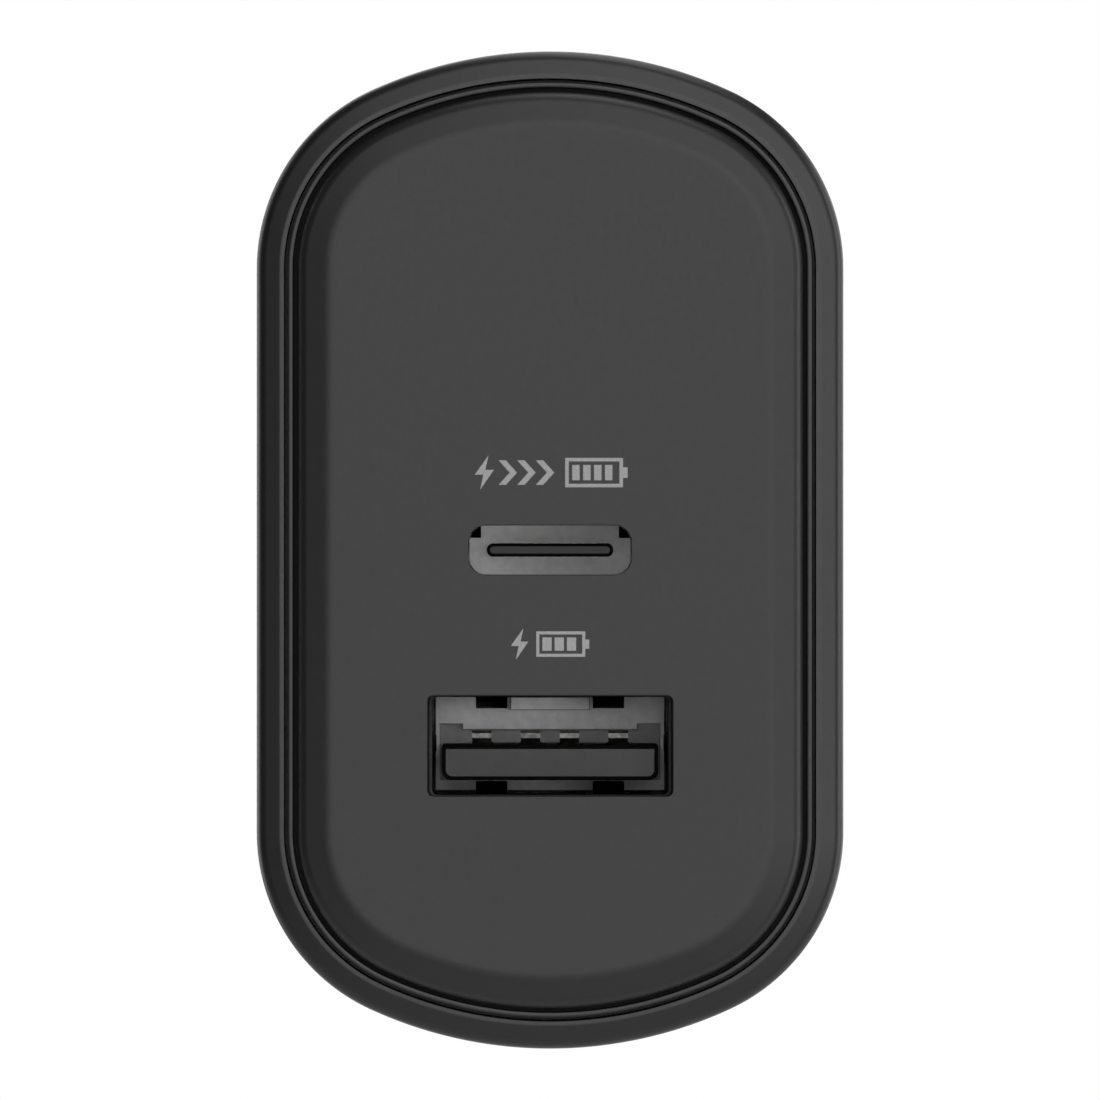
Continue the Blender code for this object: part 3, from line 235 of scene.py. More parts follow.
def shrink_sleeve(name, colour):
    """Glossy shrink film, slightly uneven, as on capacitor cans."""
    shader = Shader(name, colour, 0.28)
    shader.tint(shader.noise(4.0), 0.85, 1.15)
    shader.rough(shader.noise(1.5), 0.22, 0.34)
    shader.bump(shader.noise(1.8, 2.0), 0.02, 0.35)
    shader.set("Coat Weight", 0.3)
    return shader.material


def pressed_ferrite(name):
    shader = Shader(name, (0.06, 0.06, 0.065), 0.62)
    shader.tint(shader.noise(0.15, 4.0), 0.6, 1.6)
    shader.rough(shader.noise(0.3), 0.5, 0.75)
    shader.bump(shader.noise(0.12, 4.0), 0.008, 0.6)
    return shader.material


def film_tape(name, colour):
    """Polyester tape in overlapping layers."""
    shader = Shader(name, colour, 0.3)
    shader.tint(shader.noise(3.0), 0.86, 1.08)
    shader.rough(shader.noise(0.8), 0.24, 0.38)
    shader.bump(shader.bands(1.9, "Z", 0.4), 0.012, 0.35)
    shader.set("Coat Weight", 0.4)
    return shader.material


def wound_wire(name, colour, pitch, direction):
    """Enamelled wire wound in even turns, with painted shade in the valleys between them."""
    shader = Shader(name, colour, 0.3, 1.0)
    fac = shader.bands(pitch, direction, 0.2)
    # The colour follows the relief of the turns: painted shade darkens the valleys.
    shader.tint(fac, 0.45, 1.1, 0.0, 0.6)
    shader.rough(shader.noise(0.5), 0.24, 0.4)
    shader.bump(fac, pitch * 0.25, 0.8)
    shader.set("Coat Weight", 0.5)
    return shader.material


def dipped_coat(name, colour):
    """A dipped coating with soft waves and pores."""
    shader = Shader(name, colour, 0.35)
    shader.tint(shader.noise(1.2), 0.8, 1.2)
    shader.rough(shader.noise(0.7), 0.28, 0.45)
    shader.bump(shader.noise(0.9, 3.0), 0.03, 0.5)
    return shader.material


def wire_jacket(name, colour):
    shader = Shader(name, colour, 0.42)
    shader.tint(shader.noise(0.8), 0.85, 1.15)
    shader.bump(shader.noise(0.25, 2.0), 0.006, 0.4)
    return shader.material


def pad_print(name):
    """Pale ink with a slightly open, dry edge."""
    shader = Shader(name, (0.29, 0.29, 0.29), 0.6)
    shader.tint(shader.noise(0.12, 3.0), 0.9, 1.08)
    shader.bump(shader.noise(0.08, 2.0), 0.0015, 0.4)
    return shader.material


CASE = moulded_plastic("case_plastic", (0.0075, 0.0075, 0.0076), 0.40)
PANEL = moulded_plastic("panel_plastic", (0.0075, 0.0075, 0.0076), 0.46)
RING = moulded_plastic("ring_plastic", (0.0075, 0.0075, 0.0076), 0.40, 0.2, 0.0008)
SEAL = moulded_plastic("seal_rubber", (0.030, 0.030, 0.030), 0.8, 0.3, 0.002, 0.1)
CARRIER = moulded_plastic("carrier_plastic", (0.026, 0.026, 0.026), 0.45)
NICKEL = rolled_metal("nickel_plate", (0.42, 0.41, 0.393), 0.34)
BRONZE = rolled_metal("phosphor_bronze", (0.62, 0.42, 0.24), 0.33, (1, 1, 0.08))
STEEL = rolled_metal("screw_steel", (0.55, 0.56, 0.58), 0.32)
SHELL = rolled_metal("socket_shell", (0.018, 0.018, 0.0183), 0.42)
FINGER = rolled_metal("finger_black_nickel", (0.004, 0.004, 0.0041), 0.45)
TONGUE = moulded_plastic("tongue_plastic", (0.012, 0.012, 0.0121), 0.46, 0.1)
# A much darker copy of the tongues' plastic, used as painted shade: on the tongues' rims, in the
# contact grooves and in the slim socket's notches.
PAINTED_SHADE = moulded_plastic("painted_shade_plastic", (0.001, 0.001, 0.001), 0.7, 0.1, 0.001, 0.04)
INSERT = moulded_plastic("insert_plastic", (0.72, 0.72, 0.72), 0.55, 0.1)
# A darker copy of the pale insert plastic, used as painted shade at the foot of the recess and
# round the key pad's foot.
RECESS_SHADE = moulded_plastic("recess_painted_shade", (0.34, 0.34, 0.34), 0.55, 0.1)
SHELL_C = rolled_metal("slim_shell_nickel", (0.75, 0.75, 0.75), 0.35)
TONGUE_C = moulded_plastic("slim_tongue_plastic", (0.003, 0.003, 0.003), 0.46, 0.1, 0.0012, 0.32)
INSERT_C = moulded_plastic("insert_plastic_pale", (0.64, 0.64, 0.64), 0.55, 0.1)
CONTACT = rolled_metal("contact_plate", (0.82, 0.80, 0.76), 0.34, (1, 0.08, 1), 0.3, 0.0004)
ALUMINIUM = rolled_metal("spreader_aluminium", (0.74, 0.75, 0.77), 0.34, (1, 1, 0.06), 0.2)
BOBBIN = moulded_plastic("bobbin_phenolic", (0.035, 0.028, 0.024), 0.5, 0.3, 0.004)
PRINT = pad_print("print_ink")

NODE_MATERIALS = {
    "prong_retainer": CARRIER,
    "detent_spring": BRONZE,
    "contact_spring_line": BRONZE,
    "contact_spring_neutral": BRONZE,
    "retainer_screw_1": STEEL,
    "retainer_screw_2": STEEL,
    "retainer_screw_3": STEEL,
    "input_wire_line": wire_jacket("line_wire", (0.33, 0.025, 0.015)),
    "input_wire_neutral": wire_jacket("neutral_wire", (0.025, 0.025, 0.025)),
    "main_board": laminate_board("main_board_laminate"),
    "port_board": laminate_board("port_board_laminate"),
    "transformer_core_upper": pressed_ferrite("core_ferrite"),
    "transformer_core_lower": bpy.data.materials["core_ferrite"],
    "choke_core": bpy.data.materials["core_ferrite"],
    "transformer_bobbin": BOBBIN,
    "transformer_winding": film_tape("winding_tape", (0.80, 0.62, 0.10)),
    "transformer_tape": film_tape("core_tape", (0.85, 0.70, 0.16)),
    "choke_winding_1": wound_wire("choke_wire", (0.72, 0.30, 0.12), 0.5, "Y"),
    "choke_winding_2": bpy.data.materials["choke_wire"],
    "bulk_capacitor_1": shrink_sleeve("bulk_sleeve", (0.035, 0.045, 0.085)),
    "bulk_capacitor_2": bpy.data.materials["bulk_sleeve"],
    "output_capacitor_1": shrink_sleeve("output_sleeve", (0.05, 0.03, 0.07)),
    "output_capacitor_2": bpy.data.materials["output_sleeve"],
    "x_capacitor": moulded_plastic("film_capacitor_box", (0.72, 0.56, 0.10), 0.4, 0.4, 0.004),
    "fuse": moulded_plastic("fuse_body", (0.03, 0.022, 0.018), 0.45, 0.3, 0.003),
    "thermistor": dipped_coat("thermistor_coat", (0.03, 0.11, 0.06)),
    "y_capacitor": dipped_coat("disc_coat", (0.04, 0.18, 0.48)),
    "bridge_rectifier": chip_epoxy("chip_epoxy"),
    "primary_controller": bpy.data.materials["chip_epoxy"],
    "sync_rectifier": bpy.data.materials["chip_epoxy"],
    "optocoupler": bpy.data.materials["chip_epoxy"],
    "pd_controller": bpy.data.materials["chip_epoxy"],
    "insulation_sheet": film_tape("insulation_film", (0.22, 0.22, 0.21)),
    "heat_spreader": ALUMINIUM,
    "usb_a_contact_1": CONTACT,
    "usb_a_contact_2": CONTACT,
    "usb_a_contact_3": CONTACT,
    "usb_a_contact_4": CONTACT,
}


def dress_nodes():
    """Gives every CAD node that stays in view its procedural material."""
    for name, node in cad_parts.items():
        material = NODE_MATERIALS.get(name, CASE)
        node.data.materials.clear()
        node.data.materials.append(material)


# ---------------------------------------------------------------------------------- fine meshes


def body_point(x, y, z):
    """A point in metres in the shared frame, from millimetres in the case's own."""
    return Vector((x, y, z + LIFT)) * MM


def shade(mesh):
    """Smooth shading, except at corners sharper than SHARP_ANGLE and on many-sided flats."""
    mesh.shade_smooth()
    mesh.set_sharp_from_angle(angle=math.radians(SHARP_ANGLE))
    for polygon in mesh.polygons:
        if polygon.loop_total > FEW_SIDES:
            polygon.use_smooth = False


def finish_mesh(name, bm):
    """A mesh object from a bmesh."""
    bmesh.ops.recalc_face_normals(bm, faces=bm.faces)
    mesh = bpy.data.meshes.new(name)
    bm.to_mesh(mesh)
    bm.free()
    shade(mesh)
    obj = bpy.data.objects.new(name, mesh)
    bpy.context.scene.collection.objects.link(obj)
    return obj


def loft(name, rings, closed=False):
    """A skin over rings of body points, capped at both ends unless it closes on itself."""
    bm = bmesh.new()
    loops = [[bm.verts.new(body_point(*point)) for point in ring] for ring in rings]
    pairs = list(zip(loops, loops[1:]))
    if closed:
        pairs.append((loops[-1], loops[0]))
    else:
        bm.faces.new(loops[0])
        bm.faces.new(loops[-1])
    for first, second in pairs:
        for i in range(len(first)):
            j = (i + 1) % len(first)
            bm.faces.new((first[i], first[j], second[j], second[i]))
    return finish_mesh(name, bm)


def block(name, low, high):
    (x0, x1), (y0, y1), (z0, z1) = [sorted(pair) for pair in zip(low, high)]
    ring = [(x0, z0), (x1, z0), (x1, z1), (x0, z1)]
    return loft(name, [[(x, y, z) for x, z in ring] for y in (y0, y1)])


def prism(name, outline, plane, low, high):
    """An outline extruded along Y (plane XZ) or along X (plane YZ)."""
    if plane == "XZ":
        rings = [[(a, level, b) for a, b in outline] for level in (low, high)]
    else:
        rings = [[(level, a, b) for a, b in outline] for level in (low, high)]
    return loft(name, rings)


def rod(name, centre, radius, length, axis, sides=48):
    circle = arc((0.0, 0.0), radius, 0, 360 - 360 / sides, sides - 1)
    (x, y, z), half = centre, length / 2
    if axis == "Y":
        return prism(name, [(x + a, z + b) for a, b in circle], "XZ", y - half, y + half)
    return prism(name, [(y + a, z + b) for a, b in circle], "YZ", x - half, x + half)


def baked(obj):
    """The object with its modifiers worked into its mesh."""
    bpy.context.view_layer.update()
    graph = bpy.context.evaluated_depsgraph_get()
    mesh = bpy.data.meshes.new_from_object(obj.evaluated_get(graph))
    obj.modifiers.clear()
    obj.data = mesh
    shade(mesh)
    return obj


def combine(target, tools, operation):
    """Works the tools into the target with a boolean and removes them."""
    for tool in tools:
        modifier = target.modifiers.new("shape", "BOOLEAN")
        modifier.operation = operation
        modifier.solver = "EXACT"
        modifier.object = tool
    baked(target)
    for tool in tools:
        bpy.data.objects.remove(tool, do_unlink=True)


def cut(target, *tools):
    combine(target, tools, "DIFFERENCE")


def join(target, *tools):
    combine(target, tools, "UNION")


def eased(obj, width, segments=3, angle=40.0):
    """Breaks the sharp edges with a small round of the given width."""
    modifier = obj.modifiers.new("ease", "BEVEL")
    modifier.width = width * MM
    modifier.segments = segments
    modifier.limit_method = "ANGLE"
    modifier.angle_limit = math.radians(angle)
    modifier.harden_normals = False
    return baked(obj)


def level(obj):
    """Keeps the two broad faces of a stamped sheet, which look along X, flat in their shading."""
    for polygon in obj.data.polygons:
        if abs(polygon.normal.x) > 0.9999:
            polygon.use_smooth = False


def dress(obj, material, body, nodes=()):
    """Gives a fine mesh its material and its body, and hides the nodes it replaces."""
    obj.data.materials.clear()
    obj.data.materials.append(material)
    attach(obj, body)
    if nodes:
        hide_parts(*nodes)


def merged(name, objects):
    """One object from several that share a material."""
    bm = bmesh.new()
    for obj in objects:
        bm.from_mesh(obj.data)
        bpy.data.objects.remove(obj, do_unlink=True)
    return finish_mesh(name, bm)


# ------------------------------------------------------------------------------------- outlines


def arc(centre, radius, start, end, steps):
    angles = [math.radians(start + (end - start) * i / steps) for i in range(steps + 1)]
    return [(centre[0] + radius * math.cos(a), centre[1] + radius * math.sin(a)) for a in angles]


def rounded_rectangle(width, height, radius, centre=(0.0, 0.0), steps=10):
    x, z = width / 2 - radius, height / 2 - radius
    points = []
    for across, up, start in ((x, z, 0), (-x, z, 90), (-x, -z, 180), (x, -z, 270)):
        points += arc((centre[0] + across, centre[1] + up), radius, start, start + 90, steps)
    return points


def case_outline(inset, corner_steps=32, end_steps=18):
    """The case seen from the front: slightly curved ends, round corners, straight sides."""
    corner_x = WIDTH / 2 - CORNER_RADIUS
    end_z = HEIGHT / 2 - END_RADIUS
    rise = math.sqrt((END_RADIUS - CORNER_RADIUS) ** 2 - corner_x**2)
    meeting = math.degrees(math.atan2(rise, corner_x))
    corner = (corner_x, end_z + rise)
    right = arc(corner, CORNER_RADIUS - inset, 0, meeting, corner_steps)
    top = arc((0.0, end_z), END_RADIUS - inset, meeting, 90, end_steps)
    straight = [(right[0][0], right[0][1] * share) for share in (0.33, 0.985)]
    quarter = straight + right + top[1:]
    half = quarter + [(-x, z) for x, z in reversed(quarter[:-1])]
    return half + [(x, -z) for x, z in reversed(half)]


def supported(profile, closed, hold=0.06, long=0.5):
    """Adds a point near each end of every long run, so that its shading stays flat."""
    points = []
    pairs = list(zip(profile, profile[1:] + profile[:1] if closed else profile[1:]))
    for first, second in pairs:
        points.append(first)
        a, b = Vector(first), Vector(second)
        length = (b - a).length
        if length > long:
            points.append(tuple(a + (b - a) * hold / length))
            points.append(tuple(b - (b - a) * hold / length))
    return points if closed else [*points, profile[-1]]


def swept(name, profile, closed=False):
    """A skin over a profile of (inset, depth) points carried around the case's outline."""
    profile = supported(profile, closed)
    rings = [[(x, y, z) for x, z in case_outline(inset)] for inset, y in profile]
    return loft(name, rings, closed)


def strip_outline(path, thickness):
    """The outline of a strip of the given thickness bent along a path."""
    points = [Vector(point) for point in path]
    left, right = [], []
    for i, point in enumerate(points):
        before = (point - points[i - 1]).normalized() if i else None
        after = (points[i + 1] - point).normalized() if i + 1 < len(points) else None
        along = ((before or after) + (after or before)).normalized()
        normal = Vector((-along.y, along.x))
        side = before or after
        reach = thickness / 2 / normal.dot(Vector((-side.y, side.x)))
        left.append(tuple(point + normal * reach))
        right.append(tuple(point - normal * reach))
    return left + right[::-1]


def curve_through(path, samples=6):
    """Points on a smooth curve through the points of path."""
    knots = [Vector(point) for point in path]
    knots = [2 * knots[0] - knots[1], *knots, 2 * knots[-1] - knots[-2]]
    points = []
    for a, b, c, d in zip(knots, knots[1:], knots[2:], knots[3:]):
        for step in range(samples):
            t = step / samples
            points.append(
                tuple(0.5 * (2 * b + (c - a) * t + (2 * a - 5 * b + 4 * c - d) * t**2
                             + (3 * b - a - 3 * c + d) * t**3))
            )
    return [*points, tuple(knots[-2])]


# ------------------------------------------------------------------------------------------ case


def soft_edge(outer, inner, front, blend, steps=16):
    """A tight round from the side, a shallow slope, and a blend into the flat front."""
    tilt, turn, blend_steps = math.radians(13.0), 0.5, 8
    tight, wide = turn / (1 - math.sin(tilt)), blend / math.sin(tilt)
    shoulder = front + wide * (1 - math.cos(tilt)) + (inner - outer - turn - blend) * math.tan(tilt)
    points = []
    for step in range(steps + 1):
        angle = math.pi / 2 + (tilt - math.pi / 2) * step / steps
        depth = tight * (math.cos(tilt) - math.cos(angle))
        points.append((outer + tight * (1 - math.sin(angle)), shoulder + depth))
    for step in range(blend_steps + 1):
        angle = tilt * (1 - step / blend_steps)
        points.append((inner - wide * math.sin(angle), front + wide * (1 - math.cos(angle))))
    return points


def make_sleeve():
    """The housing: a tube with a soft front edge and a rim that holds the panel."""
    seam, chamfer = REAR_SEAM - 0.3, 0.25
    profile = [
        (chamfer, seam),
        (0.07, seam - 0.06),
        (0.0, seam - chamfer),
        *soft_edge(0.0, RIM_EDGE, RIM_FRONT, 0.12),
        (RIM_INSET - 0.03, RIM_FRONT),
        (RIM_INSET, RIM_FRONT + 0.03),
        (RIM_INSET, RIM_FRONT + 2.6),
        (WALL, RIM_FRONT + 2.6),
        (WALL, seam),
    ]
    sleeve = swept("case_sleeve", profile, closed=True)
    dress(sleeve, CASE, "case", ["housing"])


def make_trim_ring():
    """The thin ring around the panel and the dull seal seated behind it."""
    outer, inner, flange_inner = RING_OUTER, RING_INNER, 2.45
    front, step, rear = RIM_FRONT + 0.1, RIM_FRONT + 1.5, RIM_FRONT + 2.3
    ease, gap = 0.05, 0.02
    profile = [
        (outer, front + ease),
        (outer + ease * 0.3, front + ease * 0.3),
        (outer + ease, front),
        (inner - ease, front),
        (inner - ease * 0.3, front + ease * 0.3),
        (inner, front + ease),
        (inner, step - gap),
        (outer, step - gap),
    ]
    dress(swept("trim_band", profile, closed=True), RING, "case", ["trim_ring"])
    flange = [(outer, step), (flange_inner, step), (flange_inner, rear), (outer, rear)]
    dress(swept("trim_seal", flange, closed=True), SEAL, "case", ["trim_ring"])


def opening_cutter(name, opening, centre_z, round_edge):
    """A tool for a port opening, flared at the panel's face to leave a rounded edge."""
    width, height, radius = opening
    levels = [(PANEL_FRONT - 0.5, round_edge), (PANEL_FRONT, round_edge)]
    steps = 4
    for step in range(1, steps + 1):
        turn = math.radians(90 * step / steps)
        levels.append(
            (PANEL_FRONT + round_edge * (1 - math.cos(turn)), round_edge * (1 - math.sin(turn)))
        )
    levels.append((PANEL_FRONT + 3.0, 0.0))
    rings = []
    for y, grow in levels:
        ring = rounded_rectangle(width + 2 * grow, height + 2 * grow, radius + grow, (0, centre_z))
        rings.append([(x, y, z) for x, z in ring])
    return loft(name, rings)


def make_port_panel():
    """The pillowed front panel with its two openings."""
    middle, wall, pocket, base = 4.3, 3.6, PANEL_FRONT + 1.8, RIM_FRONT + 1.2
    profile = [
        (middle, PANEL_FRONT),
        *reversed(soft_edge(PANEL_INSET, PANEL_EDGE, PANEL_FRONT, 0.48)),
        (PANEL_INSET, base),
        (wall, base),
        (wall, pocket),
        (middle, pocket),
    ]
    panel = swept("port_panel", profile)
    cut(
        panel,
        opening_cutter("usb_c_cut", USB_C_MOUTH, 0.0, 0.02),
        opening_cutter("usb_a_cut", USB_A_OPENING, USB_A_Z, 0.06),
    )
    dress(panel, PANEL, "case", ["front_panel"])
    dress(snap_hooks("panel_hooks", pocket - 0.4, RIM_FRONT + 6.4), PANEL, "case")


def snap_hooks(name, root, tip):
    """The four clips that hold a moulding in the sleeve, from their root to their tip along Y."""
    arm_out, arm_in, reach = WIDTH / 2 - 2.65, WIDTH / 2 - 3.55, WIDTH / 2 - 1.75
    half_width = 2.5
    direction = 1 if tip > root else -1
    catch, ramp = tip - direction * 1.4, tip - direction * 0.98
    hooks = []
    for side in SIDES:
        outline = [
            (side * arm_in, root),
            (side * arm_out, root),
            (side * arm_out, catch),
            (side * reach, catch),
            (side * reach, ramp),
            (side * arm_out, tip),
            (side * arm_in, tip),
        ]
        for height in SNAP_HEIGHTS:
            ends = (height - half_width, height + half_width)
            rings = [[(x, y, z) for x, y in outline] for z in ends]
            hooks.append(eased(loft("hook", rings), 0.12, 2))
    return merged(name, hooks)


def cover_shell():
    """The cover's rounded face and its spigot, with a shallow groove at the parting line."""
    fillet, groove, spigot_out, spigot_in = 2.5, 0.45, 2.3, 3.3
    profile = [
        (3.2, 0.0),
        *arc((fillet, -fillet), fillet, 90, 180, 24),
        (0.0, REAR_SEAM + 0.25),
        (0.07, REAR_SEAM + 0.06),
        (0.25, REAR_SEAM),
        (groove, REAR_SEAM),
        (groove, REAR_SEAM - 0.26),
        (spigot_out, REAR_SEAM - 0.26),
        (spigot_out, SPIGOT_END),
        (spigot_in, SPIGOT_END),
        (spigot_in, -COVER_THICKNESS),
        (4.0, -COVER_THICKNESS),
    ]
    return swept("wall_cover", profile)


def make_wall_cover():
    """The cover with its blade wells, half bearings, screw bosses and finger scoop."""
    cover = cover_shell()
    inside, outside = -COVER_THICKNESS + 0.5, 1.0
    slot_top, slot_bottom, floor = PIVOT_Z + 3.6, PIVOT_Z - 21.2, -7.2
    slot_width, hub_size, corner_steps = 2.3, (3.9, 7.3, 0.4), 5
    slot_middle, slot_length = (slot_top + slot_bottom) / 2, slot_top - slot_bottom
    wall, half_well, half_bearing, bore = 1.0, 2.15, 2.6, 1.3
    boss, pilot, pilot_length = 1.6, 0.95, 5.5
    scoop_radius, scoop_length = 9.0, 19.4
    added, removed = [], []
    for side in SIDES:
        middle = side * BLADE_X
        added.append(
            block(f"well_{side}", (middle - half_well, floor - wall, slot_bottom - wall),
                  (middle + half_well, inside, PIVOT_Z - 4.0))
        )
        added.append(
            block(f"bearing_{side}", (side * 8.9, -4.05, PIVOT_Z - half_bearing),
                  (side * 10.3, inside, PIVOT_Z + half_bearing))
        )
        slot = rounded_rectangle(slot_width, slot_length, 0.25, (middle, slot_middle), corner_steps)
        removed.append(prism(f"slot_{side}", slot, "XZ", floor, outside))
        hub = rounded_rectangle(*hub_size, (middle, PIVOT_Z), corner_steps)
        removed.append(prism(f"hub_{side}", hub, "XZ", floor - 2.0, outside))
        removed.append(
            block(f"mouth_{side}", (side * 8.5, -5.4, PIVOT_Z - bore),
                  (side * 10.8, -PIVOT_DEPTH, PIVOT_Z + bore))
        )
        saddle = (side * 9.65, -PIVOT_DEPTH, PIVOT_Z)
        removed.append(rod(f"saddle_{side}", saddle, bore, 2.2, "X"))
    for number, (x, z) in enumerate(SCREW_PLACES):
        length = inside - SPIGOT_END
        added.append(rod(f"boss_{number}", (x, inside - length / 2, z), boss, length, "Y"))
        removed.append(rod(f"hole_{number}", (x, SPIGOT_END + 2.0, z), pilot, pilot_length, "Y"))
    scoop = (0.0, 7.7, slot_bottom + 3.7)
    removed.append(rod("scoop", scoop, scoop_radius, scoop_length, "X", 160))
    join(cover, *added)
    cut(cover, *removed)
    eased(cover, 0.12, 3, 50.0)
    dress(cover, CASE, "case", ["rear_cover"])
    dress(snap_hooks("cover_hooks", SPIGOT_END + 1.0, REAR_SEAM - 5.3), CASE, "case")


# ------------------------------------------------------------------------------------ print icons


def moved(points, across, up, scale):
    return [(across + x * scale, up + z * scale) for x, z in points]


BOLT = [(0.12, 0.5), (-0.28, -0.06), (-0.03, -0.06), (-0.12, -0.5), (0.28, 0.08), (0.03, 0.08)]


def chevron(across, up, height):
    half, stroke = height / 2, height * 0.30
    return [
        (across, up + half), (across + stroke, up + half), (across + stroke + half * 0.9, up),
        (across + stroke, up - half), (across, up - half), (across + half * 0.9, up),
    ]


def battery(across, up, width, height, bars):
    """A cell symbol: a frame, a terminal, and bars for its charge."""
    line = height * 0.12
    x0, x1, z0, z1 = across - width / 2, across + width / 2, up - height / 2, up + height / 2
    boxes = [
        (x0, z0, x1, z0 + line),
        (x0, z1 - line, x1, z1),
        (x0, z0 + line, x0 + line, z1 - line),
        (x1 - line, z0 + line, x1, z1 - line),
        (x1, up - height * 0.18, x1 + line * 1.3, up + height * 0.18),
    ]
    pitch = (width - 4 * line) / bars
    for i in range(bars):
        left = x0 + 2 * line + pitch * i
        boxes.append((left, z0 + 2 * line, left + pitch - line, z1 - 2 * line))
    return [[(a, b), (c, b), (c, d), (a, d)] for a, b, c, d in boxes]


def print_marks(name, shapes):
    inks = [prism("ink", shape, "XZ", PANEL_FRONT - 0.008, PANEL_FRONT + 0.01) for shape in shapes]
    dress(merged(name, inks), PRINT, "case")


def make_prints():
    """Plain symbols in place of the printed legends: fast charging above, charging below."""
    upper_z, lower_z = 3.95, -4.8
    upper = [moved(BOLT, -3.35, upper_z, 1.75)]
    upper += [chevron(-2.62 + 0.95 * i, upper_z, 1.25) for i in range(3)]
    upper += battery(2.25, upper_z, 2.95, 1.5, 4)
    print_marks("fast_port_symbol", upper)
    lower = [moved(BOLT, -1.55, lower_z, 1.6)] + battery(0.55, lower_z, 2.5, 1.3, 3)
    print_marks("port_symbol", lower)


# ------------------------------------------------------------------------------------ USB sockets


def tube(name, mouth, centre_z, steps=8):
    """A socket's shell: a tube of folded sheet whose front edge is slightly rounded."""
    width, height, radius = mouth
    ease, nick = 0.06, 0.02
    levels = [
        (SOCKET_FRONT + ease, SHEET), (SOCKET_FRONT + nick, SHEET - nick),
        (SOCKET_FRONT, SHEET - ease), (SOCKET_FRONT, ease), (SOCKET_FRONT + nick, nick),
        (SOCKET_FRONT + ease, 0.0), (SOCKET_REAR, 0.0), (SOCKET_REAR, SHEET),
    ]
    rings = []
    for y, grow in levels:
        size = (width + 2 * grow, height + 2 * grow, radius + grow)
        ring = rounded_rectangle(*size, (0, centre_z), steps)
        rings.append([(x, y, z) for x, z in ring])
    return loft(name, rings, closed=True)


def solder_legs(leg_x, centre_z):
    half = SHEET / 2
    return [
        block("leg", (side * leg_x - half, SOCKET_REAR - 1.6, centre_z - 0.9),
              (side * leg_x + half, SOCKET_REAR + 2.2, centre_z + 0.9))
        for side in SIDES
    ]


def tongue_outline(inset):
    """The USB-A tongue's end: square above, rounded below."""
    half, low, corner = 5.53 - inset, USB_A_Z - 1.78 + inset, 0.45 - inset * 0.6
    high = USB_A_Z - inset
    return [
        (half, high),
        (-half, high),
        *arc((-half + corner, low + corner), corner, 180, 270, 8),
        *arc((half - corner, low + corner), corner, 270, 360, 8),
    ]


def side_dimples():
    """Pressed dimples in the shell's side walls, which grip the plug."""
    dimples = []
    for side in SIDES:
        rings = []
        for depth, share in ((0.3, 0.0), (0.6, 1.0), (2.4, 1.0), (3.2, 0.0)):
            y = SOCKET_FRONT + depth
            foot, top = side * 6.04, side * (6.02 - 0.2 * share)
            rings.append([(foot, y, USB_A_Z - 0.62), (top, y, USB_A_Z - 0.3),
                          (top, y, USB_A_Z + 0.5), (foot, y, USB_A_Z + 0.82)])
        dimples.append(loft("dimple", rings))
    return dimples


def spring_finger(side, up):
    """A strip that rises from its window's rear end and bows into the mouth."""
    wall = USB_A_MOUTH[1] / 2
    path = curve_through([
        (WINDOW_REAR + 0.1, USB_A_Z + up * (wall + 0.15)),
        (WINDOW_REAR - 0.6, USB_A_Z + up * (wall + 0.12)),
        (WINDOW_FRONT + 2.9, USB_A_Z + up * (wall - 0.42)),
        (WINDOW_FRONT + 1.9, USB_A_Z + up * (wall - 0.48)),
        (WINDOW_FRONT + 1.0, USB_A_Z + up * (wall - 0.25)),
        (WINDOW_FRONT + 0.5, USB_A_Z + up * (wall + 0.05)),
    ])
    outline = strip_outline(path, 0.26)
    middle, half = side * FINGER_X, 0.8
    rings = [[(middle + x, y, z) for y, z in outline] for x in (-half, half)]
    return loft("finger", rings)


def pin_cutters(name, front, rear, roof):
    """One cutter for each contact's groove, which is as deep as PIN_FLOOR."""
    return [
        block(name, (x - PIN_GROOVE, front, USB_A_Z + PIN_FLOOR),
              (x + PIN_GROOVE, rear, USB_A_Z + roof))
        for x in USB_A_PINS
    ]


def make_usb_a_shell():
    width, height, _ = USB_A_MOUTH
    wall, half_window = height / 2, 1.1
    shell = tube("usb_a_shell_fine", USB_A_MOUTH, USB_A_Z)
    windows = [
        block("window",
              (side * FINGER_X - half_window, WINDOW_FRONT, USB_A_Z + up * (wall - 0.3)),
              (side * FINGER_X + half_window, WINDOW_REAR, USB_A_Z + up * (wall + 0.8)))
        for up in SIDES for side in SIDES
    ]
    cut(shell, *windows)
    join(shell, *solder_legs(width / 2 + SHEET / 2, USB_A_Z))
    dress(shell, SHELL, "case", ["usb_a_shell"])
    fingers = [spring_finger(side, up) for up in SIDES for side in SIDES]
    dress(merged("usb_a_fingers", fingers), FINGER, "case")
    dress(merged("usb_a_dimples", side_dimples()), SHELL, "case")


def make_usb_a_tongue():
    tip, base_front = TONGUE_TIP, USB_A_BASE
    tongue = prism("usb_a_tongue", tongue_outline(0.0), "XZ", tip + 0.04, base_front + 1.0)
    eased(tongue, 0.05, 2, 50.0)
    cut(tongue, *pin_cutters("groove", tip + 0.5, base_front + 3.0, 0.2))
    # The tongue's body is painted much darker than its face: painted shade on the rim round the
    # face and in the contact grooves.
    dress(tongue, PAINTED_SHADE, "case", ["usb_a_insulator"])
    face = prism("usb_a_tongue_face", tongue_outline(0.18), "XZ", tip, tip + 0.08)
    eased(face, 0.02, 2, 50.0)
    dress(face, TONGUE, "case")


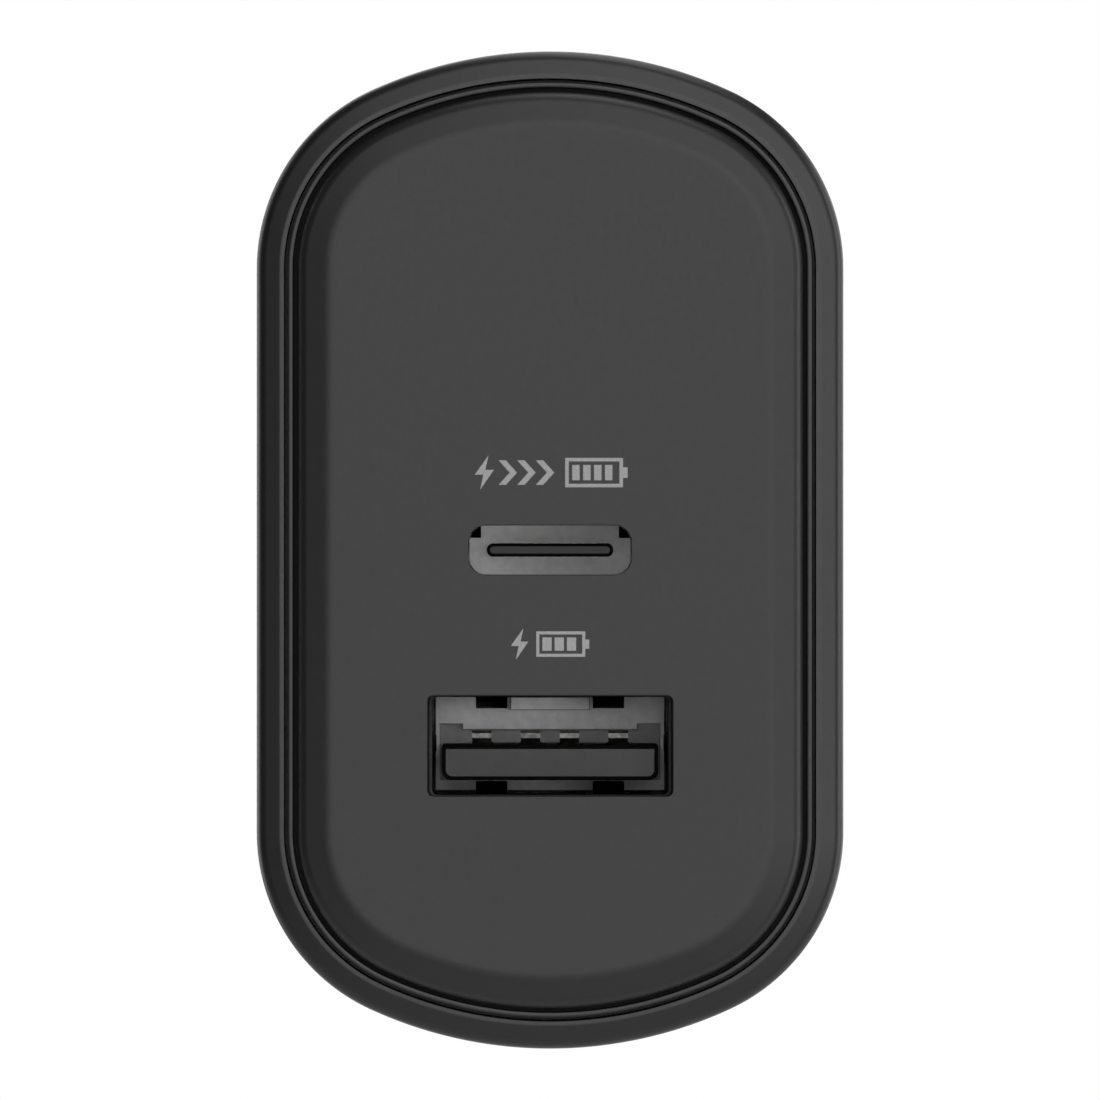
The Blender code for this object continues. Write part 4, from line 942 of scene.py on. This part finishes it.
def make_usb_a_insert():
    """The pale base with its recess, the plate at the recess's foot, the key pad above, and a rim
    round the pad's foot; plate and rim are a darker copy of the base's plastic, as painted shade.
    """
    base_front, play = USB_A_BASE, 0.1
    half_width, half_height = USB_A_MOUTH[0] / 2 - play, USB_A_MOUTH[1] / 2 - play
    insert = block("usb_a_insert", (-half_width, base_front, USB_A_Z - half_height),
                   (half_width, SOCKET_REAR - 0.1, USB_A_Z + half_height))
    side, notch, floor, roof, ledge = 5.7, 4.49, -1.9, 1.04, 0.745
    step = [(-side, floor), (side, floor), (side, roof), (notch, roof), (notch, ledge),
            (-notch, ledge), (-notch, roof), (-side, roof)]
    recess = [(x, USB_A_Z + z) for x, z in step]
    tails = pin_cutters("tail", base_front, SOCKET_REAR + 1.0, 0.05)
    cut(insert, prism("recess", recess, "XZ", base_front - 1.0, base_front + 1.6), *tails)
    plate = prism("usb_a_recess_shade_plate", [(x * 0.997, z) for x, z in recess], "XZ",
                  base_front + 1.0, base_front + 1.55)
    cut(plate, block("slot", (-4.3, base_front, USB_A_Z + PIN_FLOOR),
                     (4.3, base_front + 2.0, USB_A_Z + 0.05)))
    # The plate is painted darker than the base: painted shade deep in the recess.
    dress(plate, RECESS_SHADE, "case")

    half_pad, pad_low, pad_high = 2.0, USB_A_Z + 1.79, USB_A_Z + 2.39
    join(insert, block("pad", (-half_pad, base_front - 2.4, pad_low),
                       (half_pad, base_front + 1.0, pad_high)))
    dress(insert, INSERT, "case", ["usb_a_insulator"])
    lip, gap = 0.07, 0.01
    # A thin darker rim round the pad where it meets the base: painted shade between the parts.
    pad_shade_rim = block("usb_a_pad_shade_rim", (-half_pad - lip, base_front - 0.6, pad_low - lip),
                 (half_pad + lip, base_front - 0.02, pad_high))
    cut(pad_shade_rim, block("pad", (-half_pad - gap, base_front - 1.0, pad_low - gap),
                    (half_pad + gap, base_front, USB_A_Z + 3.0)))
    dress(pad_shade_rim, RECESS_SHADE, "case")


def make_usb_a():
    make_usb_a_shell()
    make_usb_a_tongue()
    make_usb_a_insert()


def make_usb_c():
    """The slim socket: shell, base with its notches, dark blocks in the notches as painted shade,
    tongue and the pads on both its sides.
    """
    width, height, radius = USB_C_MOUTH
    shell = tube("usb_c_shell_fine", USB_C_MOUTH, 0.0, steps=16)
    join(shell, *solder_legs(width / 2 + SHEET / 2, 0.0))
    dress(shell, SHELL_C, "case", ["usb_c_shell"])

    base_front, play = SOCKET_FRONT + 6.2, 0.015
    back = rounded_rectangle(width - 2 * play, height - 2 * play, radius - play)
    insert = prism("usb_c_insert", back, "XZ", base_front, SOCKET_REAR - 0.1)
    cut(insert, *[
        block("notch", (side * 3.55, base_front - 1.0, 0.62), (side * 4.6, base_front + 2.5, 1.6))
        for side in SIDES
    ])
    dress(insert, INSERT_C, "case", ["usb_c_insulator"])

    # Dark blocks set into the notches as painted shade.
    notch_shades = [
        block("notch", (side * 3.56, base_front + 0.5, 0.63), (side * 4.12, base_front + 2.4, 1.2))
        for side in SIDES
    ]
    dress(merged("usb_c_notch_shades", notch_shades), PAINTED_SHADE, "case")

    tongue = prism("usb_c_tongue", rounded_rectangle(6.48, 0.70, 0.34), "XZ", TONGUE_TIP + 0.04,
                   base_front + 1.0)
    eased(tongue, 0.04, 2, 60.0)
    # The tongue's body is painted much darker than its face: painted shade on the rim round the
    # face.
    dress(tongue, PAINTED_SHADE, "case", ["usb_c_insulator"])
    face = prism("usb_c_tongue_face", rounded_rectangle(6.14, 0.36, 0.17), "XZ", TONGUE_TIP,
                 TONGUE_TIP + 0.08)
    dress(face, TONGUE_C, "case")

    pads, count, pitch, half_pad = [], 12, 0.5, 0.13
    longer = (0, 3, 8, 11)
    for up in SIDES:
        for number in range(count):
            x = (number - (count - 1) / 2) * pitch
            tip = TONGUE_TIP + (0.9 if number in longer else 1.35)
            pads.append(block("pad", (x - half_pad, tip, up * 0.33),
                              (x + half_pad, base_front, up * 0.356)))
    dress(merged("usb_c_contacts", pads), CONTACT, "case")


# ----------------------------------------------------------------------------------- folding plug


def circle_turns(steps):
    return [math.tau * i / steps for i in range(steps)]


def drill(name, across, y, radius):
    """A cutter for a hole along X through a blade, flared where it breaks the two faces."""
    sheet, ease, over = BLADE_HALF_SHEET, BLADE_EASE, 0.1
    turn = circle_turns(64)
    rings = []
    for x, grow in ((-sheet - over, ease + over), (-sheet + ease, 0.0), (sheet - ease, 0.0),
                    (sheet + over, ease + over)):
        reach = radius + grow
        rings.append([
            (across + x, y + reach * math.cos(a), PIVOT_Z + reach * math.sin(a)) for a in turn
        ])
    return loft(name, rings)


def make_blade(name, node, side):
    """A blade whose root is rounded about the pivot and ends in a contact tab."""
    half, tip, taper, slope = 3.175, 20.6, 1.1, 1.8
    tab_half, tab_reach = 1.2, 4.9
    root = math.degrees(math.asin(tab_half / half))
    tab = math.degrees(math.asin(tab_half / tab_reach))
    outline = [
        (tip - 0.15, half - taper - 0.12),
        (tip - 0.3, half - taper + 0.06),
        (tip - slope, half),
        *arc((0, 0), half, 90, 180 - root, 24),
        *arc((0, 0), tab_reach, 180 - tab, 180 + tab, 10),
        *arc((0, 0), half, 180 + root, 270, 24),
        (tip - slope, -half),
        (tip - 0.3, -half + taper - 0.06),
        (tip - 0.15, -half + taper + 0.12),
        (tip, -half + taper + 0.4),
        (tip, half - taper - 0.4),
    ]
    across = side * BLADE_X
    place = [(y - PIVOT_DEPTH, z + PIVOT_Z) for y, z in outline]
    blade = prism(name, place, "YZ", across - BLADE_HALF_SHEET, across + BLADE_HALF_SHEET)
    eased(blade, BLADE_EASE, 3, 30.0)
    cut(
        blade,
        drill("blade_hole", across, 11.9, 1.6),
        drill("pivot_hole", across, -PIVOT_DEPTH, 1.35),
    )
    level(blade)
    dress(blade, NICKEL, "prongs", [node])


def make_carrier():
    """The shaft with its cheeks, turned about the hinge line, and the flat-sided cam."""
    shaft, hub, end = SHAFT_RADIUS, HUB_RADIUS, SHAFT_HALF_LENGTH
    ease, nick = 0.18, 0.05
    profile = [(shaft - ease, -end), (shaft, -end + ease)]
    for side in SIDES:
        for edge in SIDES:
            near, far = sorted((side * BLADE_X + edge * 0.85, side * BLADE_X + edge * 1.65))
            profile += [(shaft, near), (hub - ease, near), (hub - nick, near + nick),
                        (hub, near + ease), (hub, far - ease), (hub - nick, far - nick),
                        (hub - ease, far), (shaft, far)]
    profile += [(shaft, end - ease), (shaft - ease, end)]
    turn = circle_turns(96)
    rings = [
        [(x, -PIVOT_DEPTH + radius * math.cos(a), PIVOT_Z + radius * math.sin(a)) for a in turn]
        for radius, x in profile
    ]
    carrier = loft("plug_carrier", rings)
    half_cam = 2.4
    square = rounded_rectangle(2.5, 2.5, 0.4, PIVOT_REST)
    cam = prism("cam", square, "YZ", -half_cam, half_cam)
    join(carrier, cam)
    dress(carrier, CARRIER, "prongs", ["prong_carrier"])


# --------------------------------------------------------------------------------- studio and view


def softbox(name, place, target, width, height, watts):
    """A rectangular area light, unseen by the camera, turned to its target."""
    light = bpy.data.lights.new(name, "AREA")
    light.shape = "RECTANGLE"
    light.size, light.size_y = width, height
    light.energy = watts
    light.color = (1.0, 1.0, 1.0)
    obj = bpy.data.objects.new(name, light)
    obj.location = Vector(place)
    obj.rotation_euler = (Vector(target) - Vector(place)).to_track_quat("-Z", "Y").to_euler()
    obj.visible_camera = False
    bpy.context.scene.collection.objects.link(obj)


def make_world():
    """Plain white behind the object, and a dim grey surrounding that lights it softly."""
    world = bpy.data.worlds.new("studio")
    bpy.context.scene.world = world
    world.use_nodes = True
    nodes, links = world.node_tree.nodes, world.node_tree.links
    seen = nodes["Background"]
    seen.inputs["Color"].default_value = (1.0, 1.0, 1.0, 1.0)
    seen.inputs["Strength"].default_value = 1.0
    soft = nodes.new("ShaderNodeBackground")
    soft.inputs["Color"].default_value = (1.0, 1.0, 1.0, 1.0)
    soft.inputs["Strength"].default_value = 0.02
    path = nodes.new("ShaderNodeLightPath")
    mix = nodes.new("ShaderNodeMixShader")
    links.new(path.outputs["Is Camera Ray"], mix.inputs["Fac"])
    links.new(soft.outputs["Background"], mix.inputs[1])
    links.new(seen.outputs["Background"], mix.inputs[2])
    links.new(mix.outputs["Shader"], nodes["World Output"].inputs["Surface"])


def fade_out(material, start, end):
    """Lets a floor fade softly into the white behind it, by its distance from the middle."""
    nodes, links = material.node_tree.nodes, material.node_tree.links
    place = nodes.new("ShaderNodeTexCoord")
    distance = nodes.new("ShaderNodeVectorMath")
    distance.operation = "LENGTH"
    fade = nodes.new("ShaderNodeMapRange")
    fade.interpolation_type = "SMOOTHSTEP"
    fade.inputs["From Min"].default_value = start
    fade.inputs["From Max"].default_value = end
    fade.inputs["To Min"].default_value = 1.0
    fade.inputs["To Max"].default_value = 0.0
    links.new(place.outputs["Object"], distance.inputs[0])
    links.new(distance.outputs["Value"], fade.inputs["Value"])
    links.new(fade.outputs["Result"], nodes["Principled BSDF"].inputs["Alpha"])


def make_floor():
    """A sheet of white paper under the object, for its shadow."""
    bm = bmesh.new()
    bmesh.ops.create_grid(bm, x_segments=1, y_segments=1, size=FLOOR_HALF)
    floor = finish_mesh("floor", bm)
    floor.location = (0.0, 0.0, FLOOR_Z)
    shader = Shader("floor_paper", (0.9, 0.9, 0.9), 0.8)
    shader.set("Emission Color", (1.0, 1.0, 1.0, 1.0)).set("Emission Strength", 0.03)
    shader.tint(shader.noise(40.0, 2.0), 0.995, 1.0)
    shader.bump(shader.noise(0.6, 2.0), 0.01, 0.1)
    fade_out(shader.material, *FLOOR_FADE)
    floor.data.materials.append(shader.material)


def make_lights():
    middle = (0.0, -0.02, -0.008)
    softbox("front_axis", (0.00, -1.55, 0.06), middle, 0.6, 0.6, 5.2)
    softbox("front_right", (0.70, -1.38, 0.12), middle, 0.8, 0.8, 6.6)
    softbox("front_top", (0.12, -1.38, 0.68), middle, 0.8, 0.8, 6.0)
    softbox("right_side", (0.80, -0.12, 0.06), middle, 0.35, 0.9, 4.0)
    softbox("top_side", (0.10, 0.00, 0.80), middle, 0.9, 0.35, 3.2)
    softbox("right_rear", (0.60, 0.50, 0.05), middle, 0.4, 0.9, 3.0)
    softbox("top_rear", (-0.15, 0.55, 0.60), middle, 0.9, 0.4, 2.0)
    softbox("left_rear", (-0.72, 0.37, 0.06), middle, 0.4, 0.9, 3.5)
    softbox("rear_axis", (-0.35, 1.45, 0.40), middle, 1.0, 1.0, 9.0)


def make_camera():
    """A long lens straight in front, so far that the panel's face spans VIEW_WIDTH."""
    camera = bpy.data.cameras.new("camera")
    camera.sensor_width = 36.0
    camera.lens = 500.0
    camera.clip_start, camera.clip_end = 0.01, 50.0
    obj = bpy.data.objects.new("camera", camera)
    distance = camera.lens / camera.sensor_width * VIEW_WIDTH * MM
    obj.location = Vector((0.0, PANEL_FRONT * MM - distance, LIFT * MM))
    obj.rotation_euler = (math.radians(90), 0.0, 0.0)
    bpy.context.scene.collection.objects.link(obj)
    bpy.context.scene.camera = obj


dress_nodes()
make_sleeve()
make_trim_ring()
make_port_panel()
make_wall_cover()
make_prints()
make_usb_a()
make_usb_c()
make_blade("blade_line", "prong_line", -1)
make_blade("blade_neutral", "prong_neutral", 1)
make_carrier()
make_world()
make_floor()
make_lights()
make_camera()
bpy.context.scene.view_settings.view_transform = "Standard"
